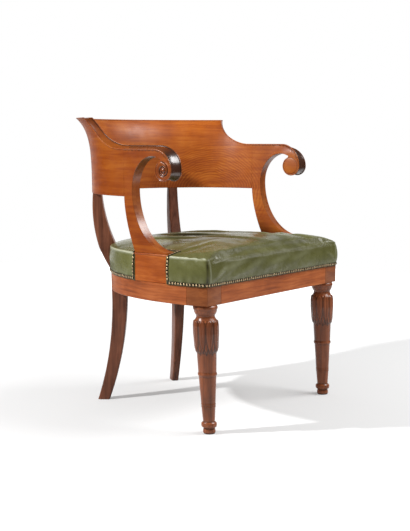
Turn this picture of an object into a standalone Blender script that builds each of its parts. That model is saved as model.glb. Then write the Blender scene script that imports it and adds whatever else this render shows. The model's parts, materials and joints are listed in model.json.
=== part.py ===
"""Desk armchair: horseshoe back, scrolled arms, turned front legs, sabre rear legs, stuffed leather seat.

Metres, +Z up, the front faces -Y. Depths are measured back from the front face of the front leg
blocks. One empty carries every piece, so that the origin lies on the floor under the chair's middle.
Most pieces come in pairs: they are drawn for the right side (+X) and mirrored by side = -1.
"""

import math

import bmesh
import bpy
import numpy as np
from mathutils import Vector

# Fits
CLEARANCE = 0.0003          # between two pieces that meet
SEAT_CLEARANCE = 0.0006     # between the seat's soft layers and the wood that they go round
BOSS = 0.004                # how far a tenon starts inside its own piece
SIDES = {"right": 1, "left": -1}

# Seat frame
RAIL_BOTTOM = 0.330
RAIL_TOP = 0.400
RAIL_THICK = 0.028
FRONT_HALF_WIDTH = 0.309    # at the front face
SIDE_HALF_WIDTH = 0.320     # where the seat is widest
WIDEST_DEPTH = 0.080
SEAT_REAR = 0.490
SEAT_SQUARENESS = 2.2       # exponent of the rounded rear half
TENON_THICK = 0.010
FRONT_TENON = 0.022         # length into a front leg block
REAR_TENON = 0.012          # length into a rear leg
TENON_BELOW = 0.015         # rail left below a tenon
TENON_ABOVE = 0.024         # rail left above a tenon

# Front legs
LEG_BLOCK = 0.058
LEG_RAKE = 0.010            # the foot stands this far in front of the block
LEG_LEAN = 0.0045           # and this far towards the middle
LEG_SEGMENTS = 24
# Turned head: drop below the block, radius
LEG_HEAD = [
    (0.000, 0.0285), (0.004, 0.0318), (0.009, 0.0318), (0.012, 0.0300), (0.017, 0.0292), (0.022, 0.0268),
    (0.026, 0.0240), (0.031, 0.0242), (0.036, 0.0270), (0.041, 0.0297), (0.052, 0.0309), (0.072, 0.0309),
    (0.093, 0.0295), (0.117, 0.0282), (0.121, 0.0256),
]
# Turned shaft and foot: height above the floor, radius
LEG_SHAFT = [
    (0.158, 0.0235), (0.156, 0.0250), (0.151, 0.0250), (0.149, 0.0227), (0.078, 0.0187), (0.076, 0.0197),
    (0.074, 0.0186), (0.072, 0.0184), (0.070, 0.0194), (0.068, 0.0182), (0.031, 0.0156), (0.028, 0.0200),
    (0.023, 0.0207), (0.018, 0.0200), (0.015, 0.0152), (0.010, 0.0163), (0.004, 0.0168), (0.000, 0.0150),
]

# Horseshoe back
BACK_RADIUS = 0.3047        # outside, below the flare
BACK_CENTRE = 0.256         # depth of the horseshoe's axis
PANEL_THICK = 0.022
PANEL_BOTTOM = 0.595
BACK_TOP = 0.800
FLARE = 0.042               # how far the top edge rolls outwards
FLARE_LENGTH = 0.040        # height in which the flare falls to about a third
FLARE_FULL = math.radians(24.0)     # the flare fades from here to the arms
STEP_START = 0.0145         # behind the joint with the arm
STEP_LENGTH = 0.101
TOP_FALL = 0.009            # the arm's top edge is this much lower outside
WING_JOINT = math.radians(43.0)
THIN_ANGLE = math.radians(35.0)
STEP_COLUMNS = 12
WING_COLUMNS = 4            # from the step to the wing's rear joint
BACK_COLUMNS = 24
PANEL_ROWS = 9
ROW_BIAS = 1.6              # rows lie closer together towards the flare
TONGUE_REACH = 0.012        # into each of the two pieces
TONGUE_THICK = 0.008
TONGUE_MARGIN = 0.020       # above the panel's lower edge
TONGUE_HEIGHT = 0.080

# Rear legs, which run up as stiles to the back panel
STILE_ANGLE = math.radians(34.8)    # from straight back, outwards
STILE_WIDTH = 0.032
STILE_END_WIDTH = 0.027     # at the panel
REAR_FOOT_WIDTH = 0.020
REAR_FOOT_REACH = 0.280     # from the horseshoe's axis
REAR_FOOT_DEPTH = 0.033
STILE_PROUD = 0.007         # outer face of the leg behind the rail
WAIST_DEPTH = 0.043
WAIST_LOW = 0.300
WAIST_HIGH = 0.375
STILE_BULGE_DEPTH = 0.050
STILE_BULGE_HEIGHT = 0.440
STILE_TOP_DEPTH = 0.024
SABRE_POWER = 2.1
STILE_TENON = 0.020
STILE_STEPS = 26

# Arms
ARM_SPLAY = math.radians(3.86)
ARM_THICK = 0.030
SCROLL_THICK = 0.041
SCROLL_FULL = 0.035         # full thickness this near to the volute's axis
SCROLL_FADE = 0.085         # and the plank's thickness beyond this
ARM_TOP = 0.728
SCROLL_DROP = 0.064         # volute's axis below the arm's top
SWEEP_RADIUS = 0.062        # the top's turn down into the scroll
SWEEP_DEPTH = 0.172
VOLUTE_RADIUS = 0.0275
NOTCH_ANGLE = math.radians(68.0)
GAP_REAR = 0.247            # the C-shaped gap under the arm
GAP_MIDDLE = 0.616
GAP_TOP = 0.700
GAP_TOP_DEPTH = 0.175
ARC_STEPS = 12
TOE_THICK = 0.005
SUPPORT_POWER = 1.7
ARM_TENON_LENGTH = 0.060
ARM_TENON_THICK = 0.014
ARM_TENON_HEIGHT = 0.024

# Arm blocks, on the side rails
SEAT_LINE = 0.378           # lower edge of the leather and foot of the arm blocks
ARM_BLOCK_TOP = 0.452
ARM_BLOCK_FRONT = 0.122
ARM_BLOCK_REAR = 0.238
BEAD_HEIGHT = 0.005
BEAD_PROUD = 0.0015
BLOCK_SLACK = 0.0005        # between an arm block's ends and its notch in the rail

# Glue blocks and screws
CORNER_HEIGHT = 0.040
CORNER_MARGIN = 0.004       # above the rail's lower edge
FRONT_CORNER_REACH = 0.072  # along each rail from the leg block
REAR_CORNER_DEPTH = 0.012
REAR_CORNER_SPAN = (0.225, 0.045)
REAR_SCREW_SPAN = (0.185, 0.075)
SCREW_RADIUS = 0.0022
SCREW_HEAD_RADIUS = 0.0045
SCREW_HEAD_HEIGHT = 0.003
SCREW_LENGTH = 0.036
SCREW_OFFSET = 0.030        # from the leg block, along the rails
SCREW_ACCESS = 0.050        # way in behind a screw's head
SCREW_SINK = 0.020          # head above the rail's face, in the block
REAR_SCREW_LENGTH = 0.028
REAR_SCREW_SINK = 0.013
BLOCK_SCREW_LENGTH = 0.055
BLOCK_SCREW_SINK = 0.015
BLOCK_SCREW_INSET = 0.028   # from the ends of an arm block
SCREW_SEGMENTS = 12

# Seat layers
WEB_WIDTH = 0.045
WEB_THICK = 0.0015
WEB_EASE = 0.002            # level stretch past each edge of a crossing
LONG_WEBS = (-0.205, -0.065, 0.065, 0.205)
CROSS_WEBS = (0.090, 0.270, 0.335)
HESSIAN_THICK = 0.001
HESSIAN_INSET = 0.008
LEATHER_THICK = 0.0026
LEATHER_GAP = 0.0004        # between the leather's skirt and the rails
BOXING_BULGE = 0.0015
SEAT_EDGE = 0.446           # top of the boxing
EDGE_ROUND = 0.006
CROWN = 0.026
CROWN_POWER = 2.4
CROWN_RINGS = (0.84, 0.62, 0.40, 0.19)
SIDE_STEPS = 5
REAR_STEPS = 13
FRONT_STEPS = 10

# Finishes: colour, roughness, metallic
FINISHES = {
    "mahogany": ((0.36, 0.11, 0.030, 1.0), 0.28, 0.0),
    "dark_mahogany": ((0.16, 0.050, 0.026, 1.0), 0.35, 0.0),
    "beech": ((0.50, 0.33, 0.18, 1.0), 0.65, 0.0),
    "leather": ((0.075, 0.085, 0.030, 1.0), 0.35, 0.0),
    "horsehair": ((0.10, 0.075, 0.05, 1.0), 0.9, 0.0),
    "hessian": ((0.38, 0.28, 0.16, 1.0), 0.9, 0.0),
    "webbing": ((0.45, 0.37, 0.25, 1.0), 0.9, 0.0),
    "steel": ((0.42, 0.40, 0.37, 1.0), 0.4, 1.0),
}
SMOOTH_ANGLE = math.radians(32.0)


# Mesh helpers

def smooth(share):
    """Smooth step from 0 to 1."""
    share = min(max(share, 0.0), 1.0)
    return share * share * (3.0 - 2.0 * share)


def loft(rings):
    """Closed skin over rings of equal count, with a flat face on the first and the last ring."""
    bm = bmesh.new()
    rows = [[bm.verts.new(point) for point in ring] for ring in rings]
    count = len(rows[0])
    for low, high in zip(rows, rows[1:]):
        for i in range(count):
            j = (i + 1) % count
            bm.faces.new((low[i], low[j], high[j], high[i]))
    bm.faces.new(rows[0])
    bm.faces.new(rows[-1])
    return bm


def prism(outline, bottom, top):
    """Upright prism over an outline of (x, depth)."""
    return loft([[(x, y, z) for x, y in outline] for z in (bottom, top)])


def box(low, high):
    """Box between two corners."""
    (x0, y0, z0), (x1, y1, z1) = low, high
    return prism([(x0, y0), (x1, y0), (x1, y1), (x0, y1)], z0, z1)


def turned_box(centre, along, length, thick, bottom, top):
    """Upright box whose length runs along a level direction."""
    along = Vector((along[0], along[1])).normalized()
    across = Vector((-along.y, along.x))
    middle = Vector((centre[0], centre[1]))
    corners = []
    for a, b in ((-1, -1), (1, -1), (1, 1), (-1, 1)):
        corners.append(tuple(middle + along * (a * length / 2) + across * (b * thick / 2)))
    return prism(corners, bottom, top)


def turned(profile, segments, origin=(0.0, 0.0, 0.0), axis=(0.0, 0.0, 1.0)):
    """Solid of revolution of (distance along the axis, radius)."""
    turn = Vector((0.0, 0.0, 1.0)).rotation_difference(Vector(axis).normalized())
    rings = []
    for along, radius in profile:
        ring = []
        for i in range(segments):
            angle = 2.0 * math.pi * i / segments
            point = Vector((radius * math.cos(angle), radius * math.sin(angle), along))
            ring.append(turn @ point + Vector(origin))
        rings.append(ring)
    return loft(rings)


def mirrored(bm, side):
    """The right-hand shape, or its mirror image for side = -1."""
    if side < 0:
        for vert in bm.verts:
            vert.co.x = -vert.co.x
    return bm


def outward(bm):
    """Turn every face out."""
    bmesh.ops.recalc_face_normals(bm, faces=bm.faces)
    return bm


def together(shapes):
    """One bmesh of several shapes, which are used up."""
    whole = bmesh.new()
    for shape in shapes:
        outward(shape)
        mesh = bpy.data.meshes.new("shape")
        shape.to_mesh(mesh)
        whole.from_mesh(mesh)
        shape.free()
        bpy.data.meshes.remove(mesh)
    return whole


def as_object(name, bm):
    """Object of a bmesh, which is used up."""
    mesh = bpy.data.meshes.new(name)
    outward(bm).to_mesh(mesh)
    bm.free()
    obj = bpy.data.objects.new(name, mesh)
    bpy.context.collection.objects.link(obj)
    return obj


def combine(obj, shapes, operation):
    """Apply one Boolean of several separate shapes to an object."""
    tool = as_object("tool", together(shapes))
    step = obj.modifiers.new("combine", "BOOLEAN")
    step.operation = operation
    step.solver = "EXACT"
    step.use_self = True
    step.object = tool
    scene_state = bpy.context.evaluated_depsgraph_get()
    scene_state.update()
    result = bpy.data.meshes.new_from_object(obj.evaluated_get(scene_state))
    obj.modifiers.remove(step)
    old = obj.data
    obj.data = result
    result.name = obj.name
    bpy.data.meshes.remove(old)
    tool_mesh = tool.data
    bpy.data.objects.remove(tool)
    bpy.data.meshes.remove(tool_mesh)


def halve(bm, point, normal):
    """Cut off what lies beyond a plane and close the cut."""
    geometry = list(bm.verts) + list(bm.edges) + list(bm.faces)
    bmesh.ops.bisect_plane(bm, geom=geometry, plane_co=point, plane_no=normal, clear_outer=True)
    rim = [edge for edge in bm.edges if edge.is_boundary]
    bmesh.ops.holes_fill(bm, edges=rim, sides=0)
    return bm


def finished(name, bm, finish, cuts=(), joins=()):
    """Named piece with its tenons joined, its holes cut, its material and smooth shading."""
    obj = as_object(name, bm)
    if joins:
        combine(obj, joins, "UNION")
    if cuts:
        combine(obj, cuts, "DIFFERENCE")
    colour, roughness, metallic = FINISHES[finish]
    material = bpy.data.materials.new(name + "_finish")
    material.use_nodes = True
    shader = material.node_tree.nodes["Principled BSDF"]
    shader.inputs["Base Color"].default_value = colour
    shader.inputs["Roughness"].default_value = roughness
    shader.inputs["Metallic"].default_value = metallic
    obj.data.materials.clear()
    obj.data.materials.append(material)
    obj.data.shade_smooth()
    obj.data.set_sharp_from_angle(angle=SMOOTH_ANGLE)
    obj.parent = bpy.data.objects["armchair"]
    return obj


# Seat plan

def seat_half_width(depth):
    """Half width of the seat frame, outside, at a depth."""
    if depth < WIDEST_DEPTH:
        share = 1.0 - depth / WIDEST_DEPTH
        return SIDE_HALF_WIDTH - (SIDE_HALF_WIDTH - FRONT_HALF_WIDTH) * share**2
    share = min((depth - WIDEST_DEPTH) / (SEAT_REAR - WIDEST_DEPTH), 1.0)
    return SIDE_HALF_WIDTH * (1.0 - share**SEAT_SQUARENESS) ** (1.0 / SEAT_SQUARENESS)


def seat_rear_depth(half_width):
    """Depth of the seat frame's outside, on its rounded half, at a distance from the middle."""
    share = min(abs(half_width) / SIDE_HALF_WIDTH, 1.0)
    reach = SEAT_REAR - WIDEST_DEPTH
    return WIDEST_DEPTH + reach * (1.0 - share**SEAT_SQUARENESS) ** (1.0 / SEAT_SQUARENESS)


def side_station(depth):
    """Point and outward normal on the bowed side in front of the widest place."""
    bow = 2.0 * (SIDE_HALF_WIDTH - FRONT_HALF_WIDTH) * (1.0 - depth / WIDEST_DEPTH) / WIDEST_DEPTH
    return Vector((seat_half_width(depth), depth)), Vector((1.0, -bow)).normalized()


def rear_station(half_width):
    """Point and outward normal on the rounded half."""
    reach = SEAT_REAR - WIDEST_DEPTH
    depth = seat_rear_depth(half_width)
    slope_x = abs(half_width) ** (SEAT_SQUARENESS - 1.0) / SIDE_HALF_WIDTH**SEAT_SQUARENESS
    slope_y = (depth - WIDEST_DEPTH) ** (SEAT_SQUARENESS - 1.0) / reach**SEAT_SQUARENESS
    return Vector((half_width, depth)), Vector((slope_x, slope_y)).normalized()


def right_plan():
    """Stations along the right half of the seat frame, from the front corner to the middle of the rear."""
    stations = [side_station(WIDEST_DEPTH * i / SIDE_STEPS) for i in range(SIDE_STEPS)]
    for i in range(REAR_STEPS + 1):
        angle = 0.5 * math.pi * i / REAR_STEPS
        across = max(math.cos(angle), 0.0) ** (2.0 / SEAT_SQUARENESS)
        stations.append(rear_station(SIDE_HALF_WIDTH * across))
    return stations


def seat_ring(offset):
    """Closed outline of the seat, moved outwards by an offset."""
    half = []
    for point, normal in right_plan():
        half.append(point + normal * offset)
    normal = side_station(0.0)[1]
    bow = -normal.y / normal.x
    half[0] = Vector((half[0].x + (-offset - half[0].y) * bow, -offset))
    ring = [(p.x, p.y) for p in half] + [(-p.x, p.y) for p in reversed(half[:-1])]
    for i in range(1, FRONT_STEPS):
        share = i / FRONT_STEPS
        ring.append((half[0].x * (2.0 * share - 1.0), -offset))
    return ring


def plan_reach(angle):
    """Distance from the horseshoe's axis to the seat frame's outside, at an angle from straight back."""
    near, far = 0.0, SEAT_REAR
    for _ in range(50):
        middle = 0.5 * (near + far)
        x, y = middle * math.sin(angle), BACK_CENTRE + middle * math.cos(angle)
        if y < SEAT_REAR and abs(x) < seat_half_width(y):
            near = middle
        else:
            far = middle
    return near


# Seat rails

def rail_strip(stations):
    """Rail along stations of the seat plan."""
    sections = []
    for point, normal in stations:
        inner = point - normal * RAIL_THICK
        sections.append([(point.x, point.y, RAIL_BOTTOM), (point.x, point.y, RAIL_TOP),
                         (inner.x, inner.y, RAIL_TOP), (inner.x, inner.y, RAIL_BOTTOM)])
    return loft(sections)


def stile_axes():
    """Level directions of the right rear leg: radial, outwards, and tangent, towards the side rail."""
    radial = Vector((math.sin(STILE_ANGLE), math.cos(STILE_ANGLE)))
    return radial, Vector((radial.y, -radial.x))


def stile_face(distance):
    """Point on the plane that lies a distance along the tangent from the right rear leg's middle."""
    tangent = stile_axes()[1]
    return Vector((tangent.x * distance, BACK_CENTRE + tangent.y * distance, 0.0))


def tenon_levels(extra=0.0):
    """Lower and upper face of a rail's tenon, or of its mortise with a clearance."""
    return RAIL_BOTTOM + TENON_BELOW - extra, RAIL_TOP - TENON_ABOVE + extra


def front_tenon(extra=0.0):
    """Tenon of the front rail into the right leg block."""
    root = FRONT_HALF_WIDTH - LEG_BLOCK
    middle = RAIL_THICK / 2.0
    half = TENON_THICK / 2.0 + extra
    low, high = tenon_levels(extra)
    return box((root - BOSS, middle - half, low), (root + FRONT_TENON + extra, middle + half, high))


def side_tenon(extra=0.0):
    """Tenon of the right side rail into the leg block."""
    middle = seat_half_width(LEG_BLOCK) - RAIL_THICK / 2.0
    half = TENON_THICK / 2.0 + extra
    low, high = tenon_levels(extra)
    return box((middle - half, LEG_BLOCK - FRONT_TENON - extra, low), (middle + half, LEG_BLOCK + BOSS, high))


def stile_tenon(hand, extra=0.0):
    """Tenon into the right rear leg: hand = 1 from the side rail, -1 from the rear rail."""
    radial, tangent = stile_axes()
    root = STILE_WIDTH / 2.0 + BOSS
    tip = STILE_WIDTH / 2.0 - REAR_TENON - extra
    reach = plan_reach(STILE_ANGLE) - RAIL_THICK / 2.0
    middle = Vector((0.0, BACK_CENTRE)) + radial * reach + tangent * (hand * (root + tip) / 2.0)
    low, high = tenon_levels(extra)
    return turned_box(middle, tangent, root - tip, TENON_THICK + 2.0 * extra, low, high)


def make_front_rail():
    """Straight rail between the front leg blocks."""
    half = FRONT_HALF_WIDTH - LEG_BLOCK - CLEARANCE
    bar = box((-half, 0.0, RAIL_BOTTOM), (half, RAIL_THICK, RAIL_TOP))
    tenons = [front_tenon(), mirrored(front_tenon(), -1)]
    holes = [mirrored(screw_shape(*front_screw(), CLEARANCE), side) for side in SIDES.values()]
    finished("front_rail", bar, "mahogany", cuts=holes, joins=tenons)


def make_side_rail(hand, side):
    """Bowed rail from a front leg block to a rear leg, let down for the arm block."""
    tangent = stile_axes()[1]
    strip = rail_strip(right_plan())
    halve(strip, (0.0, LEG_BLOCK + CLEARANCE, 0.0), (0.0, -1.0, 0.0))
    halve(strip, stile_face(STILE_WIDTH / 2.0 + CLEARANCE), (-tangent.x, -tangent.y, 0.0))
    tenons = [mirrored(side_tenon(), side), mirrored(stile_tenon(1), side)]
    notch = prism(arm_block_outline(BLOCK_SLACK, RAIL_THICK, RAIL_THICK), SEAT_LINE, RAIL_TOP + BOSS)
    holes = [mirrored(notch, side), mirrored(screw_shape(*side_screw(), CLEARANCE), side)]
    holes.append(mirrored(screw_shape(*rear_screw(REAR_SCREW_SPAN[0]), CLEARANCE), side))
    for spot in block_screws():
        holes.append(mirrored(screw_shape(*spot, CLEARANCE), side))
    finished(hand + "_side_rail", mirrored(strip, side), "mahogany", cuts=holes, joins=tenons)


def make_rear_rail():
    """Curved rail between the rear legs."""
    tangent = stile_axes()[1]
    right = [station for station in right_plan() if station[0].y > BACK_CENTRE]
    left = [(Vector((-p.x, p.y)), Vector((-n.x, n.y))) for p, n in reversed(right[:-1])]
    strip = rail_strip(right + left)
    face = stile_face(-STILE_WIDTH / 2.0 - CLEARANCE)
    halve(strip, face, (tangent.x, tangent.y, 0.0))
    halve(strip, (-face.x, face.y, 0.0), (-tangent.x, tangent.y, 0.0))
    tenons = [mirrored(stile_tenon(-1), side) for side in SIDES.values()]
    hole = (*rear_screw(REAR_SCREW_SPAN[1]), CLEARANCE)
    holes = [mirrored(screw_shape(*hole), side) for side in SIDES.values()]
    finished("rear_rail", strip, "mahogany", cuts=holes, joins=tenons)


# Legs

def make_front_leg(hand, side):
    """Turned and raked leg under a block whose outer face follows the bowed side."""
    profile = list(reversed(LEG_SHAFT))
    profile += [(RAIL_BOTTOM - drop, radius) for drop, radius in reversed(LEG_HEAD)]
    profile.append((RAIL_BOTTOM + BOSS, LEG_HEAD[0][1]))
    inner = FRONT_HALF_WIDTH - LEG_BLOCK
    shaft = turned(profile, LEG_SEGMENTS, (inner + LEG_BLOCK / 2.0, LEG_BLOCK / 2.0, 0.0))
    for vert in shaft.verts:
        share = max(RAIL_BOTTOM - vert.co.z, 0.0) / RAIL_BOTTOM
        vert.co.x -= LEG_LEAN * share
        vert.co.y -= LEG_RAKE * share
    outline = [(inner, 0.0)]
    for share in (0.0, 0.5, 1.0):
        outline.append((seat_half_width(share * LEG_BLOCK), share * LEG_BLOCK))
    outline.append((inner, LEG_BLOCK))
    block = prism(outline, RAIL_BOTTOM, RAIL_TOP)
    mortises = [mirrored(front_tenon(CLEARANCE), side), mirrored(side_tenon(CLEARANCE), side)]
    finished("front_" + hand + "_leg", mirrored(block, side), "mahogany",
             cuts=mortises, joins=[mirrored(shaft, side)])


def stile_radius(height):
    """Middle of the rear leg, from the horseshoe's axis."""
    waist = plan_reach(STILE_ANGLE) + STILE_PROUD - WAIST_DEPTH / 2.0
    if height < WAIST_LOW:
        return waist + (REAR_FOOT_REACH - waist) * (1.0 - height / WAIST_LOW) ** SABRE_POWER
    rise = max(height - WAIST_HIGH, 0.0) / (PANEL_BOTTOM - WAIST_HIGH)
    top = BACK_RADIUS - STILE_TOP_DEPTH / 2.0
    return waist + (top - waist) * (1.0 - max(1.0 - rise, 0.0) ** SABRE_POWER)


def stile_section(height, extra=0.0):
    """Level rectangle of the right rear leg, grown by a clearance."""
    heights = (0.0, WAIST_LOW, STILE_BULGE_HEIGHT, PANEL_BOTTOM)
    depth = np.interp(height, heights, (REAR_FOOT_DEPTH, WAIST_DEPTH, STILE_BULGE_DEPTH, STILE_TOP_DEPTH))
    width = np.interp(height, heights, (REAR_FOOT_WIDTH, STILE_WIDTH, STILE_WIDTH, STILE_END_WIDTH))
    radial, tangent = stile_axes()
    middle = Vector((0.0, BACK_CENTRE)) + radial * stile_radius(height)
    section = []
    for a, b in ((-1, -1), (1, -1), (1, 1), (-1, 1)):
        corner = middle + radial * (a * (depth / 2.0 + extra)) + tangent * (b * (width / 2.0 + extra))
        section.append((corner.x, corner.y, height))
    return section


def stile_heights():
    """Heights of the rear leg's sections."""
    heights = list(np.linspace(0.0, PANEL_BOTTOM - CLEARANCE, STILE_STEPS))
    return sorted(heights + [WAIST_LOW, WAIST_HIGH, STILE_BULGE_HEIGHT])


def panel_tenon(extra=0.0):
    """Tenon of the right stile up into the back panel."""
    radial, tangent = stile_axes()
    middle = Vector((0.0, BACK_CENTRE)) + radial * (BACK_RADIUS - PANEL_THICK / 2.0)
    return turned_box(middle, tangent, STILE_END_WIDTH / 2.0 + 2.0 * extra, TENON_THICK + 2.0 * extra,
                      PANEL_BOTTOM - BOSS, PANEL_BOTTOM + STILE_TENON + extra)


def make_rear_leg(hand, side):
    """Sabre leg and stile in one piece."""
    blank = loft([stile_section(height) for height in stile_heights()])
    mortises = [mirrored(stile_tenon(way, CLEARANCE), side) for way in (1, -1)]
    finished("rear_" + hand + "_leg", mirrored(blank, side), "dark_mahogany",
             cuts=mortises, joins=[mirrored(panel_tenon(), side)])


# Back

def arm_joint():
    """Depth of the joint between wing and arm, at the outer face."""
    return BACK_CENTRE + BACK_RADIUS * math.sin(ARM_SPLAY)


def step_angle(share):
    """Angle round the horseshoe at a share of the step's length."""
    depth = arm_joint() + STEP_START + STEP_LENGTH * share
    return math.asin((depth - BACK_CENTRE) / BACK_RADIUS)


def panel_tops(angle):
    """Heights of the back's outer and inner upper edge, with the step down to the arms."""
    depth = BACK_CENTRE + BACK_RADIUS * math.sin(angle)
    share = min(max((depth - arm_joint() - STEP_START) / STEP_LENGTH, 0.0), 1.0)
    drop = math.sqrt(1.0 - share**2)
    return BACK_TOP - (BACK_TOP - ARM_TOP + TOP_FALL) * drop, BACK_TOP - (BACK_TOP - ARM_TOP) * drop


def panel_section(angle):
    """Section of the back at an angle round the horseshoe, from the right."""
    folded = min(angle, math.pi - angle)
    weight = smooth((folded - ARM_SPLAY) / (FLARE_FULL - ARM_SPLAY))
    thin = smooth((folded - ARM_SPLAY) / (THIN_ANGLE - ARM_SPLAY))
    thick = ARM_THICK + (PANEL_THICK - ARM_THICK) * thin
    section = []
    for top, inset in zip(panel_tops(angle), (0.0, thick)):
        points = []
        for row in range(PANEL_ROWS + 1):
            share = 1.0 - (1.0 - row / PANEL_ROWS) ** ROW_BIAS
            z = PANEL_BOTTOM + (top - PANEL_BOTTOM) * share
            reach = BACK_RADIUS + weight * FLARE * math.exp((z - BACK_TOP) / FLARE_LENGTH) - inset
            points.append((reach * math.cos(angle), BACK_CENTRE + reach * math.sin(angle), z))
        section += points[::-1] if inset else points
    return section


def tongue(angle, thickness, extra=0.0):
    """Loose tongue across a joint of the horseshoe."""
    reach = BACK_RADIUS - thickness / 2.0
    middle = (reach * math.cos(angle), BACK_CENTRE + reach * math.sin(angle))
    low = PANEL_BOTTOM + TONGUE_MARGIN
    return turned_box(middle, (-math.sin(angle), math.cos(angle)), 2.0 * (TONGUE_REACH + extra),
                      TONGUE_THICK + 2.0 * extra, low - extra, low + TONGUE_HEIGHT + extra)


def make_back():
    """Back panel between the two wing joints, on the stiles' tenons."""
    gap = CLEARANCE / BACK_RADIUS
    angles = np.linspace(WING_JOINT + gap / 2.0, math.pi - WING_JOINT - gap / 2.0, BACK_COLUMNS + 1)
    blank = loft([panel_section(angle) for angle in angles])
    cuts = []
    for side in SIDES.values():
        cuts.append(mirrored(panel_tenon(CLEARANCE), side))
        cuts.append(mirrored(tongue(WING_JOINT, PANEL_THICK, CLEARANCE), side))
    finished("back_panel", blank, "mahogany", cuts=cuts)


def make_wing(hand, side):
    """Wing from the back panel down the step to the arm, with its two loose tongues."""
    gap = CLEARANCE / BACK_RADIUS
    angles = [ARM_SPLAY + gap / 2.0]
    for i in range(STEP_COLUMNS + 1):
        angles.append(step_angle(math.sin(0.5 * math.pi * i / STEP_COLUMNS)))
    angles += list(np.linspace(angles[-1], WING_JOINT - gap / 2.0, WING_COLUMNS + 1)[1:])
    blank = loft([panel_section(angle) for angle in angles])
    joints = {"_back_tongue": (WING_JOINT, PANEL_THICK), "_arm_tongue": (ARM_SPLAY, ARM_THICK)}
    grooves = [mirrored(tongue(*joint, CLEARANCE), side) for joint in joints.values()]
    finished(hand + "_wing_panel", mirrored(blank, side), "mahogany", cuts=grooves)
    for name, joint in joints.items():
        finished(hand + name, mirrored(tongue(*joint), side), "beech")


# Arms

def arm_point(depth, inset):
    """Level place on the right arm's plank, inset from its outer face."""
    joint = arm_joint()
    along = (depth - joint) / math.cos(ARM_SPLAY)
    x = BACK_RADIUS * math.cos(ARM_SPLAY) - along * math.sin(ARM_SPLAY) - inset * math.cos(ARM_SPLAY)
    return x, joint + along * math.cos(ARM_SPLAY) - inset * math.sin(ARM_SPLAY)


def arc(centre, radii, start, end, steps=ARC_STEPS):
    """Points along an elliptical arc of (depth, height)."""
    points = []
    for angle in np.linspace(start, end, steps + 1):
        points.append((centre[0] + radii[0] * math.cos(angle), centre[1] + radii[1] * math.sin(angle)))
    return points


def volute_axis():
    """Depth and height of the volute's axis."""
    return SWEEP_DEPTH - SWEEP_RADIUS + VOLUTE_RADIUS, ARM_TOP - SCROLL_DROP


def arm_outline(fall):
    """Side view of an arm: top, lowered by a fall, sweep, volute, C-shaped gap, foot and rear edge."""
    rear = arm_joint() - CLEARANCE / 2.0
    volute = volute_axis()
    notch = volute[0] + VOLUTE_RADIUS * math.cos(NOTCH_ANGLE)
    upper = (GAP_REAR - GAP_TOP_DEPTH, GAP_TOP - GAP_MIDDLE)
    lower = (GAP_REAR - ARM_BLOCK_FRONT, GAP_MIDDLE - ARM_BLOCK_TOP - TOE_THICK)
    foot = ARM_BLOCK_TOP + CLEARANCE
    outline = [(rear, ARM_TOP - fall)]
    outline += arc((SWEEP_DEPTH, volute[1]), (SWEEP_RADIUS, SCROLL_DROP - fall), math.pi / 2.0, math.pi)
    turn = (math.pi, 2.0 * math.pi + NOTCH_ANGLE, 2 * ARC_STEPS)
    outline += arc(volute, (VOLUTE_RADIUS, VOLUTE_RADIUS), *turn)[1:]
    outline += arc((GAP_TOP_DEPTH, GAP_MIDDLE), upper, math.acos((notch - GAP_TOP_DEPTH) / upper[0]), 0.0)
    outline += arc((ARM_BLOCK_FRONT, GAP_MIDDLE), lower, 0.0, -math.pi / 2.0)[1:]
    outline.append((ARM_BLOCK_FRONT, foot))
    for height in np.linspace(foot, PANEL_BOTTOM, ARC_STEPS):
        outline.append((support_rear(height), height))
    return outline


def arm_tenon(extra=0.0):
    """Tenon under the right arm's foot, down into the arm block."""
    middle = (ARM_BLOCK_FRONT + ARM_BLOCK_REAR) / 2.0
    return turned_box(arm_point(middle, ARM_THICK / 2.0), (-math.sin(ARM_SPLAY), math.cos(ARM_SPLAY)),
                      ARM_TENON_LENGTH + 2.0 * extra, ARM_TENON_THICK + 2.0 * extra,
                      ARM_BLOCK_TOP - ARM_TENON_HEIGHT - extra, ARM_BLOCK_TOP + BOSS)


def arm_inset(depth, height):
    """Thickness of an arm at a place in its side view: the plank thickens inwards at the scroll."""
    away = math.dist((depth, height), volute_axis())
    return ARM_THICK + (SCROLL_THICK - ARM_THICK) * smooth((SCROLL_FADE - away) / (SCROLL_FADE - SCROLL_FULL))


def make_arm(hand, side):
    """Plank arm with its support and foot."""
    outer = [(*arm_point(depth, 0.0), z) for depth, z in arm_outline(TOP_FALL)]
    inner = [(*arm_point(depth, arm_inset(depth, z)), z) for depth, z in arm_outline(0.0)]
    plank = loft([outer, inner])
    groove = tongue(ARM_SPLAY, ARM_THICK, CLEARANCE)
    finished(hand + "_arm", mirrored(plank, side), "mahogany",
             cuts=[mirrored(groove, side)], joins=[mirrored(arm_tenon(), side)])


def arm_block_outline(proud, outer, inner):
    """Plan of the right arm block, grown at its ends, outside and inside."""
    corners = [(ARM_BLOCK_FRONT - proud, -outer), (ARM_BLOCK_REAR + proud, -outer),
               (ARM_BLOCK_REAR + proud, ARM_THICK + inner), (ARM_BLOCK_FRONT - proud, ARM_THICK + inner)]
    return [arm_point(depth, inset) for depth, inset in corners]


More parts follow.
